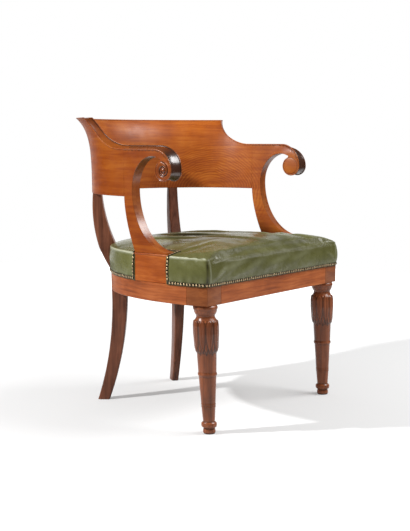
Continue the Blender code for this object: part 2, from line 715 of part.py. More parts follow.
def make_arm_block(hand, side):
    """Block under the arm's foot, with a bead round its top, held by two screws from below."""
    neck = ARM_BLOCK_TOP - BEAD_HEIGHT
    plain, wide = arm_block_outline(0.0, 0.0, 0.0), arm_block_outline(BEAD_PROUD, BEAD_PROUD, 0.0)
    levels = ((plain, SEAT_LINE + CLEARANCE), (plain, neck), (wide, neck), (wide, ARM_BLOCK_TOP))
    blank = loft([[(x, y, z) for x, y in outline] for outline, z in levels])
    cuts = [mirrored(arm_tenon(CLEARANCE), side)]
    for number, spot in enumerate(block_screws(), 1):
        cuts.append(mirrored(screw_shape(*spot, CLEARANCE), side))
        finished(f"{hand}_arm_block_screw_{number}", mirrored(screw_shape(*spot), side), "steel")
    finished(hand + "_arm_block", mirrored(blank, side), "mahogany", cuts=cuts)


# Screws and glue blocks

def screw_shape(head, axis, length, extra=0.0):
    """Countersunk screw from the middle of its head, or its hole with a clearance and a way in."""
    profile = [(0.0, SCREW_HEAD_RADIUS + extra), (SCREW_HEAD_HEIGHT, SCREW_RADIUS + extra),
               (length + extra, SCREW_RADIUS + extra)]
    if extra:
        profile.insert(0, (-SCREW_ACCESS, SCREW_HEAD_RADIUS + extra))
    return turned(profile, SCREW_SEGMENTS, head, axis)


def corner_middle():
    """Height of the screws in the corner blocks."""
    return RAIL_BOTTOM + CORNER_MARGIN + CORNER_HEIGHT / 2.0


def front_screw():
    """Right front corner block into the front rail."""
    head = (FRONT_HALF_WIDTH - LEG_BLOCK - SCREW_OFFSET, RAIL_THICK + SCREW_SINK, corner_middle())
    return head, (0.0, -1.0, 0.0), SCREW_LENGTH


def side_screw():
    """Right front corner block into the side rail."""
    depth = LEG_BLOCK + SCREW_OFFSET
    head = (seat_half_width(depth) - RAIL_THICK - SCREW_SINK, depth, corner_middle())
    return head, (1.0, 0.0, 0.0), SCREW_LENGTH


def rear_screw(half_width):
    """Right rear corner block into the side rail or the rear rail."""
    point, normal = rear_station(half_width)
    head = point - normal * (RAIL_THICK + REAR_SCREW_SINK)
    return (head.x, head.y, corner_middle()), (normal.x, normal.y, 0.0), REAR_SCREW_LENGTH


def block_screws():
    """Up through the right side rail into the arm block."""
    screws = []
    for depth in (ARM_BLOCK_FRONT + BLOCK_SCREW_INSET, ARM_BLOCK_REAR - BLOCK_SCREW_INSET):
        head = (seat_half_width(depth) - RAIL_THICK / 2.0, depth, RAIL_BOTTOM + BLOCK_SCREW_SINK)
        screws.append((head, (0.0, 0.0, 1.0), BLOCK_SCREW_LENGTH))
    return screws


def along_rail(inset, axis, start, stop):
    """Stretch of the inset right plan between two values of x (axis 0) or depth (axis 1)."""
    line = [point - normal * inset for point, normal in right_plan()]
    if axis == 0:
        line = [point for point in line if point.y > WIDEST_DEPTH]
    order = sorted(line, key=lambda point: point[axis])
    values = [point[axis] for point in order]
    other = [point[1 - axis] for point in order]
    low, high = min(start, stop), max(start, stop)
    picks = [low] + [value for value in values if low < value < high] + [high]
    stretch = []
    for value in picks if start < stop else reversed(picks):
        pair = (value, float(np.interp(value, values, other)))
        stretch.append(pair if axis == 0 else pair[::-1])
    return stretch


def front_corner_outline():
    """Plan of the right front corner block, notched round the leg block."""
    inner = FRONT_HALF_WIDTH - LEG_BLOCK - CLEARANCE
    near = RAIL_THICK + CLEARANCE
    behind = LEG_BLOCK + CLEARANCE
    outline = [(inner, near), (inner - FRONT_CORNER_REACH, near)]
    outline += along_rail(RAIL_THICK + CLEARANCE, 1, LEG_BLOCK + FRONT_CORNER_REACH, behind)
    return outline + [(inner, behind)]


def rear_corner_outline():
    """Plan of the right rear corner block, before the leg is cut out of it."""
    outline = along_rail(RAIL_THICK + CLEARANCE, 0, *REAR_CORNER_SPAN)
    for half_width in reversed(REAR_CORNER_SPAN):
        outline += along_rail(RAIL_THICK + REAR_CORNER_DEPTH, 0, half_width, half_width + CLEARANCE)[:1]
    return outline


def make_corner_blocks(hand, side):
    """Front and rear corner block of one side, each with two screws."""
    low = RAIL_BOTTOM + CORNER_MARGIN
    high = low + CORNER_HEIGHT
    rear_screws = [rear_screw(half_width) for half_width in REAR_SCREW_SPAN]
    places = {
        "front": (front_corner_outline(), [front_screw(), side_screw()], []),
        "rear": (rear_corner_outline(), rear_screws, [stile_cutter(CLEARANCE)]),
    }
    for place, (outline, screws, cuts) in places.items():
        for number, screw in enumerate(screws, 1):
            cuts.append(screw_shape(*screw, CLEARANCE))
            name = f"{place}_{hand}_corner_screw_{number}"
            finished(name, mirrored(screw_shape(*screw), side), "steel")
        cuts = [mirrored(cut, side) for cut in cuts]
        block = mirrored(prism(outline, low, high), side)
        finished(f"{place}_{hand}_corner_block", block, "beech", cuts=cuts)


# Seat

def web_levels():
    """Middle of the lower and of the upper strap where two straps cross."""
    low = RAIL_TOP + CLEARANCE + WEB_THICK / 2.0
    return low, low + WEB_THICK + CLEARANCE


def strap(rows):
    """Flat strap through rows of (left edge, right edge, height of the middle)."""
    sections = []
    for left, right, z in rows:
        low, high = z - WEB_THICK / 2.0, z + WEB_THICK / 2.0
        sections.append([(*left, low), (*right, low), (*right, high), (*left, high)])
    return loft(sections)


def strap_rows(ends, crossings, edge):
    """Rows of a strap: its start, both edges of each crossing and its end."""
    start, stop = ends
    rest = web_levels()[0]
    rows = [(start[0], start[1], rest)]
    for place, z in crossings:
        for along in (place - WEB_WIDTH / 2.0 - WEB_EASE, place + WEB_WIDTH / 2.0 + WEB_EASE):
            rows.append((*edge(along), z))
    rows.append((stop[0], stop[1], rest))
    return rows


def make_webbing():
    """Straps on top of the rails, woven over and under each other."""
    half = WEB_WIDTH / 2.0
    levels = web_levels()
    for i, x in enumerate(LONG_WEBS):
        edges = (x - half, x + half)
        ends = ([(e, RAIL_THICK / 2.0) for e in edges],
                [(e, seat_rear_depth(e) - RAIL_THICK / 2.0) for e in edges])
        crossings = [(y, levels[(i + j) % 2]) for j, y in enumerate(CROSS_WEBS)]
        rows = strap_rows(ends, crossings, lambda y: [(e, y) for e in edges])
        finished(f"long_webbing_{i + 1}", strap(rows), "webbing")
    for j, y in enumerate(CROSS_WEBS):
        edges = (y - half, y + half)
        ends = [[(s * (seat_half_width(e) - RAIL_THICK / 2.0), e) for e in edges] for s in (-1, 1)]
        crossings = [(x, levels[(i + j + 1) % 2]) for i, x in enumerate(LONG_WEBS)]
        rows = strap_rows(ends, crossings, lambda x: [(x, e) for e in edges])
        finished(f"cross_webbing_{j + 1}", strap(rows), "webbing")


def hessian_bottom():
    """Underside of the hessian, on the webbing."""
    return web_levels()[1] + WEB_THICK / 2.0 + CLEARANCE


def support_rear(height):
    """Depth of an arm support's rear edge."""
    rear = arm_joint() - CLEARANCE / 2.0
    share = (PANEL_BOTTOM - height) / (PANEL_BOTTOM - ARM_BLOCK_TOP - CLEARANCE)
    return rear - (rear - ARM_BLOCK_REAR) * share**SUPPORT_POWER


def arm_slot():
    """Room round the right arm block and the support's foot, open to the side."""
    slack = BEAD_PROUD + SEAT_CLEARANCE
    top = SEAT_EDGE + 2.0 * CROWN
    plain = arm_block_outline(slack, RAIL_THICK, SEAT_CLEARANCE)
    leaned = list(plain)
    for corner, inset in ((1, -RAIL_THICK), (2, ARM_THICK + SEAT_CLEARANCE)):
        leaned[corner] = arm_point(support_rear(top) + slack, inset)
    levels = ((plain, RAIL_BOTTOM), (plain, ARM_BLOCK_TOP), (leaned, top))
    return loft([[(x, y, z) for x, y in outline] for outline, z in levels])


def stile_cutter(extra):
    """The right rear leg between floor and back, grown by a clearance."""
    return loft([stile_section(height, extra) for height in stile_heights()[1:-1]])


def seat_cuts():
    """What the seat's layers go round: both arm blocks and both stiles."""
    cuts = []
    for side in SIDES.values():
        cuts.append(mirrored(arm_slot(), side))
        cuts.append(mirrored(stile_cutter(SEAT_CLEARANCE), side))
    return cuts


def seat_rings(inset, bottom):
    """Rings of the seat's skin from its lower edge to the crown, inset from the leather's outside."""
    base = LEATHER_GAP + LEATHER_THICK - inset
    middle = (SEAT_LINE + SEAT_EDGE) / 2.0
    edge = SEAT_EDGE + EDGE_ROUND - inset
    levels = ((base, bottom), (base + BOXING_BULGE, middle),
              (base, SEAT_EDGE - inset), (base - EDGE_ROUND, edge))
    rings = [[(x, y, z) for x, y in seat_ring(offset)] for offset, z in levels]
    centre = SEAT_REAR / 2.0
    for share in CROWN_RINGS:
        z = edge + CROWN * (1.0 - share**CROWN_POWER)
        rings.append([(x * share, centre + (y - centre) * share, z) for x, y, _ in rings[3]])
    return rings


def make_seat():
    """Hessian, stuffing and leather cover."""
    floor = hessian_bottom()
    sheet = prism(seat_ring(-HESSIAN_INSET), floor, floor + HESSIAN_THICK)
    finished("seat_hessian", sheet, "hessian", cuts=seat_cuts())
    pad = loft(seat_rings(LEATHER_THICK + SEAT_CLEARANCE, floor + HESSIAN_THICK + CLEARANCE))
    finished("seat_stuffing", pad, "horsehair", cuts=seat_cuts())
    hem = SEAT_LINE + CLEARANCE
    shell = loft(seat_rings(0.0, hem)[::-1] + seat_rings(LEATHER_THICK, hem))
    finished("seat_cover", shell, "leather", cuts=seat_cuts())


def main():
    """Clear the scene and build every piece under one empty."""
    for obj in list(bpy.data.objects):
        bpy.data.objects.remove(obj, do_unlink=True)
    front = -(LEATHER_GAP + LEATHER_THICK + BOXING_BULGE)
    rear = BACK_CENTRE + BACK_RADIUS + FLARE
    root = bpy.data.objects.new("armchair", None)
    root.location.y = -(front + rear) / 2.0
    bpy.context.collection.objects.link(root)
    make_front_rail()
    make_rear_rail()
    make_back()
    for hand, side in SIDES.items():
        make_front_leg(hand, side)
        make_rear_leg(hand, side)
        make_side_rail(hand, side)
        make_wing(hand, side)
        make_arm(hand, side)
        make_arm_block(hand, side)
        make_corner_blocks(hand, side)
    make_webbing()
    make_seat()


main()
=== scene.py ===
"""Looks of a desk armchair: polished mahogany, a stuffed leather seat with close nailing, a pale studio.

Metres, +Z up, the front faces -Y. Shapes are worked out in the chair's own measure, in which depth counts
back from the front of the front rail. The frame says where that face lies, and every mesh is moved there.
"""

import json
import logging
import math
from dataclasses import dataclass
from enum import Enum
from typing import Iterable, Sequence

import bmesh
import bpy
import numpy as np
from mathutils import Matrix, Vector, noise
from mathutils.geometry import delaunay_2d_cdt

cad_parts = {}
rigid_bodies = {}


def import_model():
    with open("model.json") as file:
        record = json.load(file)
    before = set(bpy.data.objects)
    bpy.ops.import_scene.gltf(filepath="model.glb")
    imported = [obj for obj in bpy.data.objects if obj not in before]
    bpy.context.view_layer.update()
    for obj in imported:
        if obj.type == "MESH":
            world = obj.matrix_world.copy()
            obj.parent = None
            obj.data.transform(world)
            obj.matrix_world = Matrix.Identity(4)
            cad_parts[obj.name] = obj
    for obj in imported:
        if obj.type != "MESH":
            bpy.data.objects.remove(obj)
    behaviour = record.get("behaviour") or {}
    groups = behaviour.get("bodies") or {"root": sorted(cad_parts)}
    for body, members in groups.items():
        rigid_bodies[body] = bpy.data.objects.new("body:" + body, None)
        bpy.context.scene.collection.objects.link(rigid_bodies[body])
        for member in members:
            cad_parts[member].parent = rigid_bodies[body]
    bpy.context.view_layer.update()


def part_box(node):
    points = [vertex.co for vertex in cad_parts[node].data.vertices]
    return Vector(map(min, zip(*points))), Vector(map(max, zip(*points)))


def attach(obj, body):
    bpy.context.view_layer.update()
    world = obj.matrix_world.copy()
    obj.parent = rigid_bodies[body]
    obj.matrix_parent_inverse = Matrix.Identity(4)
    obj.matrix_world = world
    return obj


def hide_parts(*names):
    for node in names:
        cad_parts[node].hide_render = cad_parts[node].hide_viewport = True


log = logging.getLogger("armchair")

BODY = "root"
MILLIMETRE = 0.001
WELD = 1e-6
SMOOTH_ANGLE = math.radians(38.0)
FULL_TURN = 2.0 * math.pi
UPWARD = np.array([0.0, 0.0, 1.0])
MIRROR = np.array([-1.0, 1.0])
WHITE = (1.0, 1.0, 1.0, 1.0)
BLUNT_COSINE = -0.85

Colour = tuple[float, float, float]
Triple = tuple[float, float, float]
Array = np.ndarray
Pair = tuple[np.ndarray, np.ndarray]
Faces = list[tuple[int, ...]]
Object = bpy.types.Object
Socket = bpy.types.NodeSocket


class Side(Enum):
    """The two sides of the chair, as the node names use them."""

    LEFT = -1
    RIGHT = 1

    @property
    def hand(self) -> str:
        """The side's word in node names."""
        return self.name.lower()


class Place(Enum):
    """What a material's pattern is laid out on."""

    OBJECT = "Object"
    SURFACE = "surface"


class Figure(Enum):
    """How a board's grain runs."""

    STRAIGHT = 0
    FLAME = 1


# Node trees

class Tree:
    """A node tree, with short ways to add and join nodes."""

    def __init__(self, tree: bpy.types.NodeTree) -> None:
        """Take up a tree."""
        self.tree = tree

    def feed(self, socket: Socket, value: object) -> None:
        """Join a socket to another one, or set its value.

        Args:
            socket: The socket to feed.
            value: Another socket, or a value.
        """
        if isinstance(value, Socket):
            self.tree.links.new(value, socket)
        else:
            socket.default_value = value

    def add(self, kind: str, inputs: dict, **settings: object) -> bpy.types.Node:
        """Add a node.

        Args:
            kind: The node's type.
            inputs: Values or sockets for its inputs, by name or number.
            settings: Its other settings.

        Returns:
            The node.
        """
        node = self.tree.nodes.new(kind)
        for key, value in settings.items():
            setattr(node, key, value)
        for key, value in inputs.items():
            self.feed(node.inputs[key], value)
        return node

    def math(self, operation: str, first: object, second: object = 0.0) -> Socket:
        """One step of arithmetic."""
        return self.add("ShaderNodeMath", {0: first, 1: second}, operation=operation).outputs[0]

    def span(self, value: Socket, low: float, high: float, to_low: float, to_high: float) -> Socket:
        """A value carried from one range to another, held at its ends."""
        inputs = {"Value": value, 1: low, 2: high, 3: to_low, 4: to_high}
        return self.add("ShaderNodeMapRange", inputs).outputs[0]

    def total(self, *parts: tuple[Socket, float]) -> Socket:
        """Sum of values.

        Args:
            parts: Values, each with its share.

        Returns:
            The sum.
        """
        scaled = [self.math("MULTIPLY", value, share) for value, share in parts]
        result = scaled[0]
        for value in scaled[1:]:
            result = self.math("ADD", result, value)
        return result


class Palette(Tree):
    """A material's node tree, with the patterns that the finishes share."""

    def __init__(self, name: str) -> None:
        """Start a material with one Principled shader.

        Args:
            name: The material's name.
        """
        self.material = bpy.data.materials.new(name)
        self.material.use_nodes = True
        super().__init__(self.material.node_tree)
        self.shader = self.tree.nodes["Principled BSDF"]

    def surface(self, **values: object) -> None:
        """Set the Principled shader's inputs, with spaces written as underscores."""
        for key, value in values.items():
            self.feed(self.shader.inputs[key.replace("_", " ").title().replace("Ior", "IOR")], value)

    def place(self, where: Place, scale: Triple = (1.0, 1.0, 1.0),
              shift: Triple = (0.0, 0.0, 0.0)) -> Socket:
        """Coordinates for a pattern.

        Args:
            where: The object's own axes, or the map along its surface.
            scale: Density along each axis.
            shift: Move of the pattern.

        Returns:
            The mapped coordinates.
        """
        if where is Place.OBJECT:
            source = self.add("ShaderNodeTexCoord", {}).outputs["Object"]
        else:
            source = self.add("ShaderNodeUVMap", {}, uv_map=where.value).outputs["UV"]
        inputs = {"Vector": source, "Scale": scale, "Location": shift}
        return self.add("ShaderNodeMapping", inputs).outputs["Vector"]

    def noise(self, vector: Socket, scale: float = 1.0, detail: float = 4.0, roughness: float = 0.55,
              distortion: float = 0.0) -> Socket:
        """Cloudy noise.

        Args:
            vector: Coordinates.
            scale: Density.
            detail: Number of finer layers.
            roughness: Strength of the finer layers.
            distortion: How much it is stirred.

        Returns:
            Values from 0 to 1.
        """
        inputs = {"Vector": vector, "Scale": scale, "Detail": detail, "Roughness": roughness,
                  "Distortion": distortion}
        return self.add("ShaderNodeTexNoise", inputs).outputs[0]

    def length(self, vector: Socket) -> Socket:
        """Length of a vector."""
        return self.add("ShaderNodeVectorMath", {0: vector}, operation="LENGTH").outputs["Value"]

    def blend(self, factor: object, first: object, second: object, mode: str = "MIX") -> Socket:
        """Mix of two colours.

        Args:
            factor: Share of the second colour.
            first: First colour, or its socket.
            second: Second colour, or its socket.
            mode: How they are mixed.

        Returns:
            The mix.
        """
        node = self.add("ShaderNodeMix", {}, data_type="RGBA", blend_type=mode)
        for key, value in ((0, factor), (6, first), (7, second)):
            self.feed(node.inputs[key], (*value, 1.0) if isinstance(value, tuple) else value)
        return node.outputs[2]

    def ramp(self, factor: Socket, stops: Sequence[tuple[float, Colour]]) -> Socket:
        """Colour along a ramp.

        Args:
            factor: Place on the ramp.
            stops: Places and their colours.

        Returns:
            The colour.
        """
        node = self.add("ShaderNodeValToRGB", {0: factor})
        points = node.color_ramp.elements
        while len(points) < len(stops):
            points.new(1.0)
        for point, (position, colour) in zip(points, stops):
            point.position = position
            point.color = (*colour, 1.0)
        return node.outputs[0]

    def bump(self, height: Socket, strength: float, distance: float) -> None:
        """Raise the surface by a height."""
        inputs = {"Height": height, "Strength": strength, "Distance": distance}
        self.surface(normal=self.add("ShaderNodeBump", inputs).outputs["Normal"])

    def attribute(self, name: str) -> Socket:
        """A number kept on the mesh's points, 0 where a mesh has none."""
        return self.add("ShaderNodeAttribute", {}, attribute_name=name).outputs["Fac"]


# Finishes

@dataclass(frozen=True)
class Polish:
    """French-polished wood: fibres, pores, clouds of tone, and dark polish with painted shade in hollows,
    grooves and quirks.
    """

    name: str
    light: Colour
    middle: Colour
    dark: Colour
    grain: Triple
    place: Place = Place.OBJECT
    figure: Figure = Figure.STRAIGHT
    roughness: float = 0.30
    coat: float = 0.35
    shine: float = 0.50
    soil: Colour = (0.022, 0.012, 0.009)
    stops: Triple = (0.405, 0.50, 0.595)
    tone_shares: Triple = (0.42, 0.30, 0.28)
    broad: float = 0.22
    fine: float = 3.4
    cloud_density: float = 9.0
    worn_density: float = 31.0
    pore_share: float = 0.40
    soil_share: float = 0.88
    soil_gloss: float = 0.12
    coat_roughness: float = 0.24
    flame_share: float = 0.080
    flame_rings: float = 930.0
    flame_centre: tuple[float, float] = (0.165, -0.012)
    flame_stretch: float = 0.70
    flame_sway: float = 0.028
    flame_ring: float = 0.085
    outside: Colour = (0.84, 0.73, 0.50)
    ends: Colour = (0.86, 0.82, 0.72)

    def laid(self, book: Palette, share: float) -> Socket:
        """Coordinates along the grain, at a share of its density."""
        return book.place(self.place, scale=tuple(share * density for density in self.grain))

    def flame(self, book: Palette) -> Socket:
        """Arched figure of a crotch board.

        Args:
            book: The material's node tree.

        Returns:
            The figure, from -1 to 1.
        """
        low, high = self.flame_centre
        stretch = self.flame_stretch
        wide = book.place(self.place, scale=(stretch, 1.0, 1.0), shift=(-stretch * low, -high, 0.0))
        sway = book.noise(book.place(self.place, scale=(9.0, 14.0, 1.0)), 1.0, 3.0)
        reach = book.length(wide)
        bent = book.math("ADD", reach, book.math("MULTIPLY", sway, self.flame_sway))
        rings = book.math("SINE", book.math("MULTIPLY", bent, self.flame_rings))
        beside = book.math("ABSOLUTE", book.math("SUBTRACT", reach, self.flame_ring))
        near = book.span(beside, 0.025, 0.075, 1.0, 0.0)
        patches = book.noise(book.place(self.place, shift=(0.3, 0.7, 0.0)), 26.0, 2.0)
        broken = book.span(patches, 0.35, 0.65, 0.35, 1.0)
        return book.math("MULTIPLY", rings, book.math("MULTIPLY", near, broken))

    def material(self) -> bpy.types.Material:
        """Build the wood's material.

        Returns:
            The material.
        """
        book = Palette(self.name)
        fibre = book.noise(self.laid(book, 1.0), 1.0, 7.0, 0.66, 0.5)
        stripe = book.noise(self.laid(book, self.broad), 1.0, 3.0, 0.5, 0.9)
        cloud = book.noise(book.place(self.place), self.cloud_density, 3.0)
        parts = list(zip((fibre, cloud, stripe), self.tone_shares))
        if self.figure is Figure.FLAME:
            parts.append((self.flame(book), self.flame_share))
        tones = (self.dark, self.middle, self.light)
        colour = book.ramp(book.total(*parts), tuple(zip(self.stops, tones)))
        if self.figure is Figure.FLAME:
            along = book.add("ShaderNodeSeparateXYZ", {0: book.place(self.place)}).outputs["X"]
            for low, high, tint in ((0.05, -0.03, self.ends), (0.90, 0.95, self.outside)):
                colour = book.blend(book.span(along, low, high, 0.0, 1.0), colour, tint, "MULTIPLY")
        pores = book.span(book.noise(self.laid(book, self.fine), 1.0, 2.0), 0.60, 0.72, 0.0, 1.0)
        colour = book.blend(book.math("MULTIPLY", pores, self.pore_share), colour, self.dark)
        # Dark polish and painted shade in hollows, grooves and carved outlines, read from a value on the
        # mesh's points.
        soil = book.attribute("soil")
        colour = book.blend(book.math("MULTIPLY", soil, self.soil_share), colour, self.soil)
        patches = book.noise(book.place(self.place), self.worn_density, 4.0)
        worn = book.span(patches, 0.35, 0.70, -0.05, 0.09)
        rough = book.math("ADD", worn, self.roughness)
        rough = book.math("SUBTRACT", rough, book.math("MULTIPLY", soil, self.soil_gloss))
        book.surface(base_color=colour, roughness=rough, coat_weight=self.coat,
                     coat_roughness=self.coat_roughness, specular_ior_level=self.shine)
        book.bump(book.math("MULTIPLY", pores, -1.0), 0.10, 0.0003)
        return book.material


@dataclass(frozen=True)
class Hide:
    """Worn glossy leather: fine grain, cloudy tone, paler where rubbed and where highlights are painted, and
    darker with dirt and painted shade.
    """

    name: str
    base: Colour
    deep: Colour
    light: Colour
    rubbed: Colour
    soil: Colour = (0.018, 0.011, 0.004)
    roughness: float = 0.27
    grain_density: float = 900.0
    crease_density: Triple = (60.0, 34.0, 90.0)

    def material(self) -> bpy.types.Material:
        """Build the leather's material.

        Returns:
            The material.
        """
        book = Palette(self.name)
        spot = book.place(Place.OBJECT)
        cloud = book.noise(spot, 7.0, 4.0, 0.6)
        tone = book.total((cloud, 0.75), (book.noise(spot, 70.0, 3.0, 0.6), 0.25))
        colour = book.ramp(tone, ((0.28, self.deep), (0.50, self.base), (0.72, self.light)))
        # Paler where rubbed and where highlights are painted on edges and fold crests; darker with dirt and
        # painted shade round the nails, and with painted shade in folds, slits and on the top and front.
        for name, share, tint in (("rub", 0.85, self.rubbed), ("soil", 0.92, self.soil)):
            colour = book.blend(book.math("MULTIPLY", book.attribute(name), share), colour, tint)
        cells = book.add("ShaderNodeTexVoronoi", {"Vector": spot, "Scale": self.grain_density},
                         feature="DISTANCE_TO_EDGE").outputs["Distance"]
        crease = book.noise(book.place(Place.OBJECT, scale=self.crease_density), 1.0, 6.0, 0.62, 0.6)
        height = book.math("ADD", book.span(cells, 0.0, 0.12, 0.0, 0.12), crease)
        gloss = book.span(cloud, 0.30, 0.70, self.roughness + 0.07, self.roughness - 0.05)
        book.surface(base_color=colour, roughness=gloss, coat_weight=0.20, coat_roughness=0.12, ior=1.31)
        book.bump(height, 0.45, 0.0014)
        return book.material


@dataclass(frozen=True)
class Metal:
    """Old metal with tarnish in clouds, and the rim of each head darker where asked for, partly grime and
    partly painted shade.
    """

    name: str
    bright: Colour
    tarnish: Colour
    roughness: float = 0.34
    metallic: float = 1.0
    grime: float = 0.0
    dirt: Colour = (0.022, 0.015, 0.008)

    def material(self) -> bpy.types.Material:
        """Build the metal's material.

        Returns:
            The material.
        """
        book = Palette(self.name)
        spots = book.noise(book.place(Place.OBJECT), 240.0, 4.0, 0.6)
        colour = book.ramp(spots, ((0.38, self.tarnish), (0.60, self.bright)))
        # Rim of each head darker, partly grime and partly painted shade, so that only the crown of the dome
        # stays bright.
        if self.grime:
            rim = book.span(book.attribute("crest"), 0.63, 0.88, self.grime, 0.0)
            colour = book.blend(rim, colour, self.dirt)
        rough = book.span(spots, 0.35, 0.65, self.roughness + 0.16, self.roughness - 0.06)
        book.surface(base_color=colour, metallic=self.metallic, roughness=rough)
        book.bump(spots, 0.10, 0.0002)
        return book.material


@dataclass(frozen=True)
class Weave:
    """Coarse plain-woven cloth."""

    name: str
    thread: Colour
    shade: Colour
    density: float
    stripe: Colour | None = None

    def material(self) -> bpy.types.Material:
        """Build the cloth's material.

        Returns:
            The material.
        """
        book = Palette(self.name)
        inputs = {"Vector": book.place(Place.SURFACE), "Scale": self.density, "Distortion": 0.6,
                  "Detail": 2.0, "Detail Scale": 3.0}
        waves = [book.add("ShaderNodeTexWave", inputs, bands_direction=way) for way in ("X", "Y")]
        height = book.math("MAXIMUM", *(wave.outputs["Fac"] for wave in waves))
        slub = book.noise(book.place(Place.SURFACE, scale=(40.0, 160.0, 1.0)), 1.0, 3.0)
        colour = book.blend(book.math("MULTIPLY", height, 0.85), self.shade, self.thread)
        colour = book.blend(book.span(slub, 0.45, 0.75, 0.0, 0.45), colour, self.shade)
        if self.stripe:
            band = book.noise(book.place(Place.SURFACE, scale=(0.0, 90.0, 0.0)), 1.0, 0.0)
            colour = book.blend(book.span(band, 0.56, 0.58, 0.0, 0.7), colour, self.stripe)
        book.surface(base_color=colour, roughness=0.92, sheen_weight=0.15)
        book.bump(height, 0.5, 0.0006)
        return book.material


Finish = Polish | Hide | Metal | Weave

PANEL_WOOD = Polish("mahogany_flame", (0.50, 0.146, 0.016), (0.40, 0.094, 0.008), (0.29, 0.058, 0.005),
                    (7.0, 95.0, 1.0), Place.SURFACE, Figure.FLAME, roughness=0.42, coat=0.0, shine=0.30)
ARM_WOOD = Polish("mahogany_plank", (0.53, 0.138, 0.021), (0.42, 0.090, 0.010), (0.29, 0.054, 0.006),
                  (120.0, 9.0, 95.0), roughness=0.38, coat=0.08, shine=0.36)
# A darker, glossier copy of the plank wood for the arms' edges: the darker colour is painted shade on faces
# turned away from the sides.
SHADED_EDGE_WOOD = Polish("mahogany_edge", (0.38, 0.105, 0.014), (0.30, 0.070, 0.008), (0.21, 0.042, 0.005),
                   (7.0, 95.0, 1.0), Place.SURFACE, roughness=0.30, coat=0.55, shine=0.50)
RAIL_WOOD = Polish("mahogany_rail", (0.54, 0.155, 0.040), (0.41, 0.100, 0.022), (0.25, 0.056, 0.012),
                   (9.0, 130.0, 1.0), Place.SURFACE, roughness=0.36, coat=0.08, shine=0.40)
TURNED_WOOD = Polish("mahogany_turned", (0.36, 0.104, 0.036), (0.24, 0.067, 0.023), (0.13, 0.036, 0.012),
                     (130.0, 130.0, 9.0), roughness=0.30, coat=0.14, shine=0.34)
LEG_BLOCK_WOOD = Polish("mahogany_block", (0.36, 0.106, 0.027), (0.27, 0.072, 0.017), (0.18, 0.043, 0.009),
                        (26.0, 26.0, 110.0), roughness=0.40, coat=0.0, shine=0.26)
STILE_WOOD = Polish("mahogany_dark", (0.270, 0.098, 0.052), (0.180, 0.063, 0.033), (0.095, 0.032, 0.017),
                    (140.0, 140.0, 8.0), roughness=0.36, coat=0.0, shine=0.26)
BLOCK_WOOD = Polish("beech_plain", (0.55, 0.38, 0.22), (0.46, 0.30, 0.165), (0.36, 0.22, 0.115),
                    (90.0, 90.0, 12.0), roughness=0.62, coat=0.0)
# The palest tint stands for rubbed leather and for painted highlights along edges.
SEAT_HIDE = Hide("leather_olive", (0.150, 0.152, 0.046), (0.082, 0.085, 0.020), (0.235, 0.240, 0.110),
                 (0.62, 0.64, 0.48))
# The nails' rims darkened, partly grime and partly painted shade.
NAIL_BRASS = Metal("brass_antique", (0.86, 0.66, 0.38), (0.50, 0.34, 0.18), 0.30, 0.60, 0.95)
SCREW_STEEL = Metal("steel_plain", (0.46, 0.44, 0.41), (0.20, 0.18, 0.16), 0.42)
HESSIAN_CLOTH = Weave("hessian_weave", (0.44, 0.33, 0.20), (0.20, 0.145, 0.085), 330.0)
WEBBING_CLOTH = Weave("webbing_weave", (0.56, 0.49, 0.37), (0.27, 0.225, 0.155), 420.0, (0.20, 0.13, 0.085))


# Meshes

def ease(share: Array | float) -> Array | float:
    """Smooth step from 0 to 1."""
    share = np.clip(share, 0.0, 1.0)
    return share * share * (3.0 - 2.0 * share)


def bell(away: Array, width: Array | float = 1.0) -> Array:
    """Bell curve, 1 in its middle."""
    return np.exp(-((away / width) ** 2))


def unit(vectors: Array) -> Array:
    """Vectors of length 1."""
    return vectors / np.linalg.norm(vectors, axis=-1, keepdims=True)


def run_length(points: Array) -> Array:
    """Length along a line of points, from its start to each of them."""
    return np.concatenate([[0.0], np.cumsum(np.linalg.norm(np.diff(points, axis=0), axis=1))])


def levelled(outline: Array, height: Array | float) -> Array:
    """A plan's points at a height, or each at its own."""
    return np.column_stack([outline, np.broadcast_to(height, len(outline))])


def grid_faces(rows: int, columns: int, ring: bool = False) -> Faces:
    """Faces of a grid of points.

    Args:
        rows: Number of rows.
        columns: Points in each row.
        ring: Whether a row's last point joins its first.

    Returns:
        One tuple of point numbers for each face.
    """
    faces = []
    for start in range(0, (rows - 1) * columns, columns):
        for column in range(columns if ring else columns - 1):
            here, side = start + column, start + (column + 1) % columns
            faces.append((here, side, side + columns, here + columns))
    return faces


def placed(name: str, data: bpy.types.ID) -> Object:
    """A new object in the scene.

    Args:
        name: The object's name.
        data: Its mesh, lamp or camera.

    Returns:
        The object.
    """
    obj = bpy.data.objects.new(name, data)
    bpy.context.scene.collection.objects.link(obj)
    return obj


def store(mesh: bpy.types.Mesh, name: str, values: Array) -> None:
    """Keep a number on each of a mesh's points."""
    mesh.attributes.new(name, "FLOAT", "POINT").data.foreach_set("value", values.astype(np.float32))


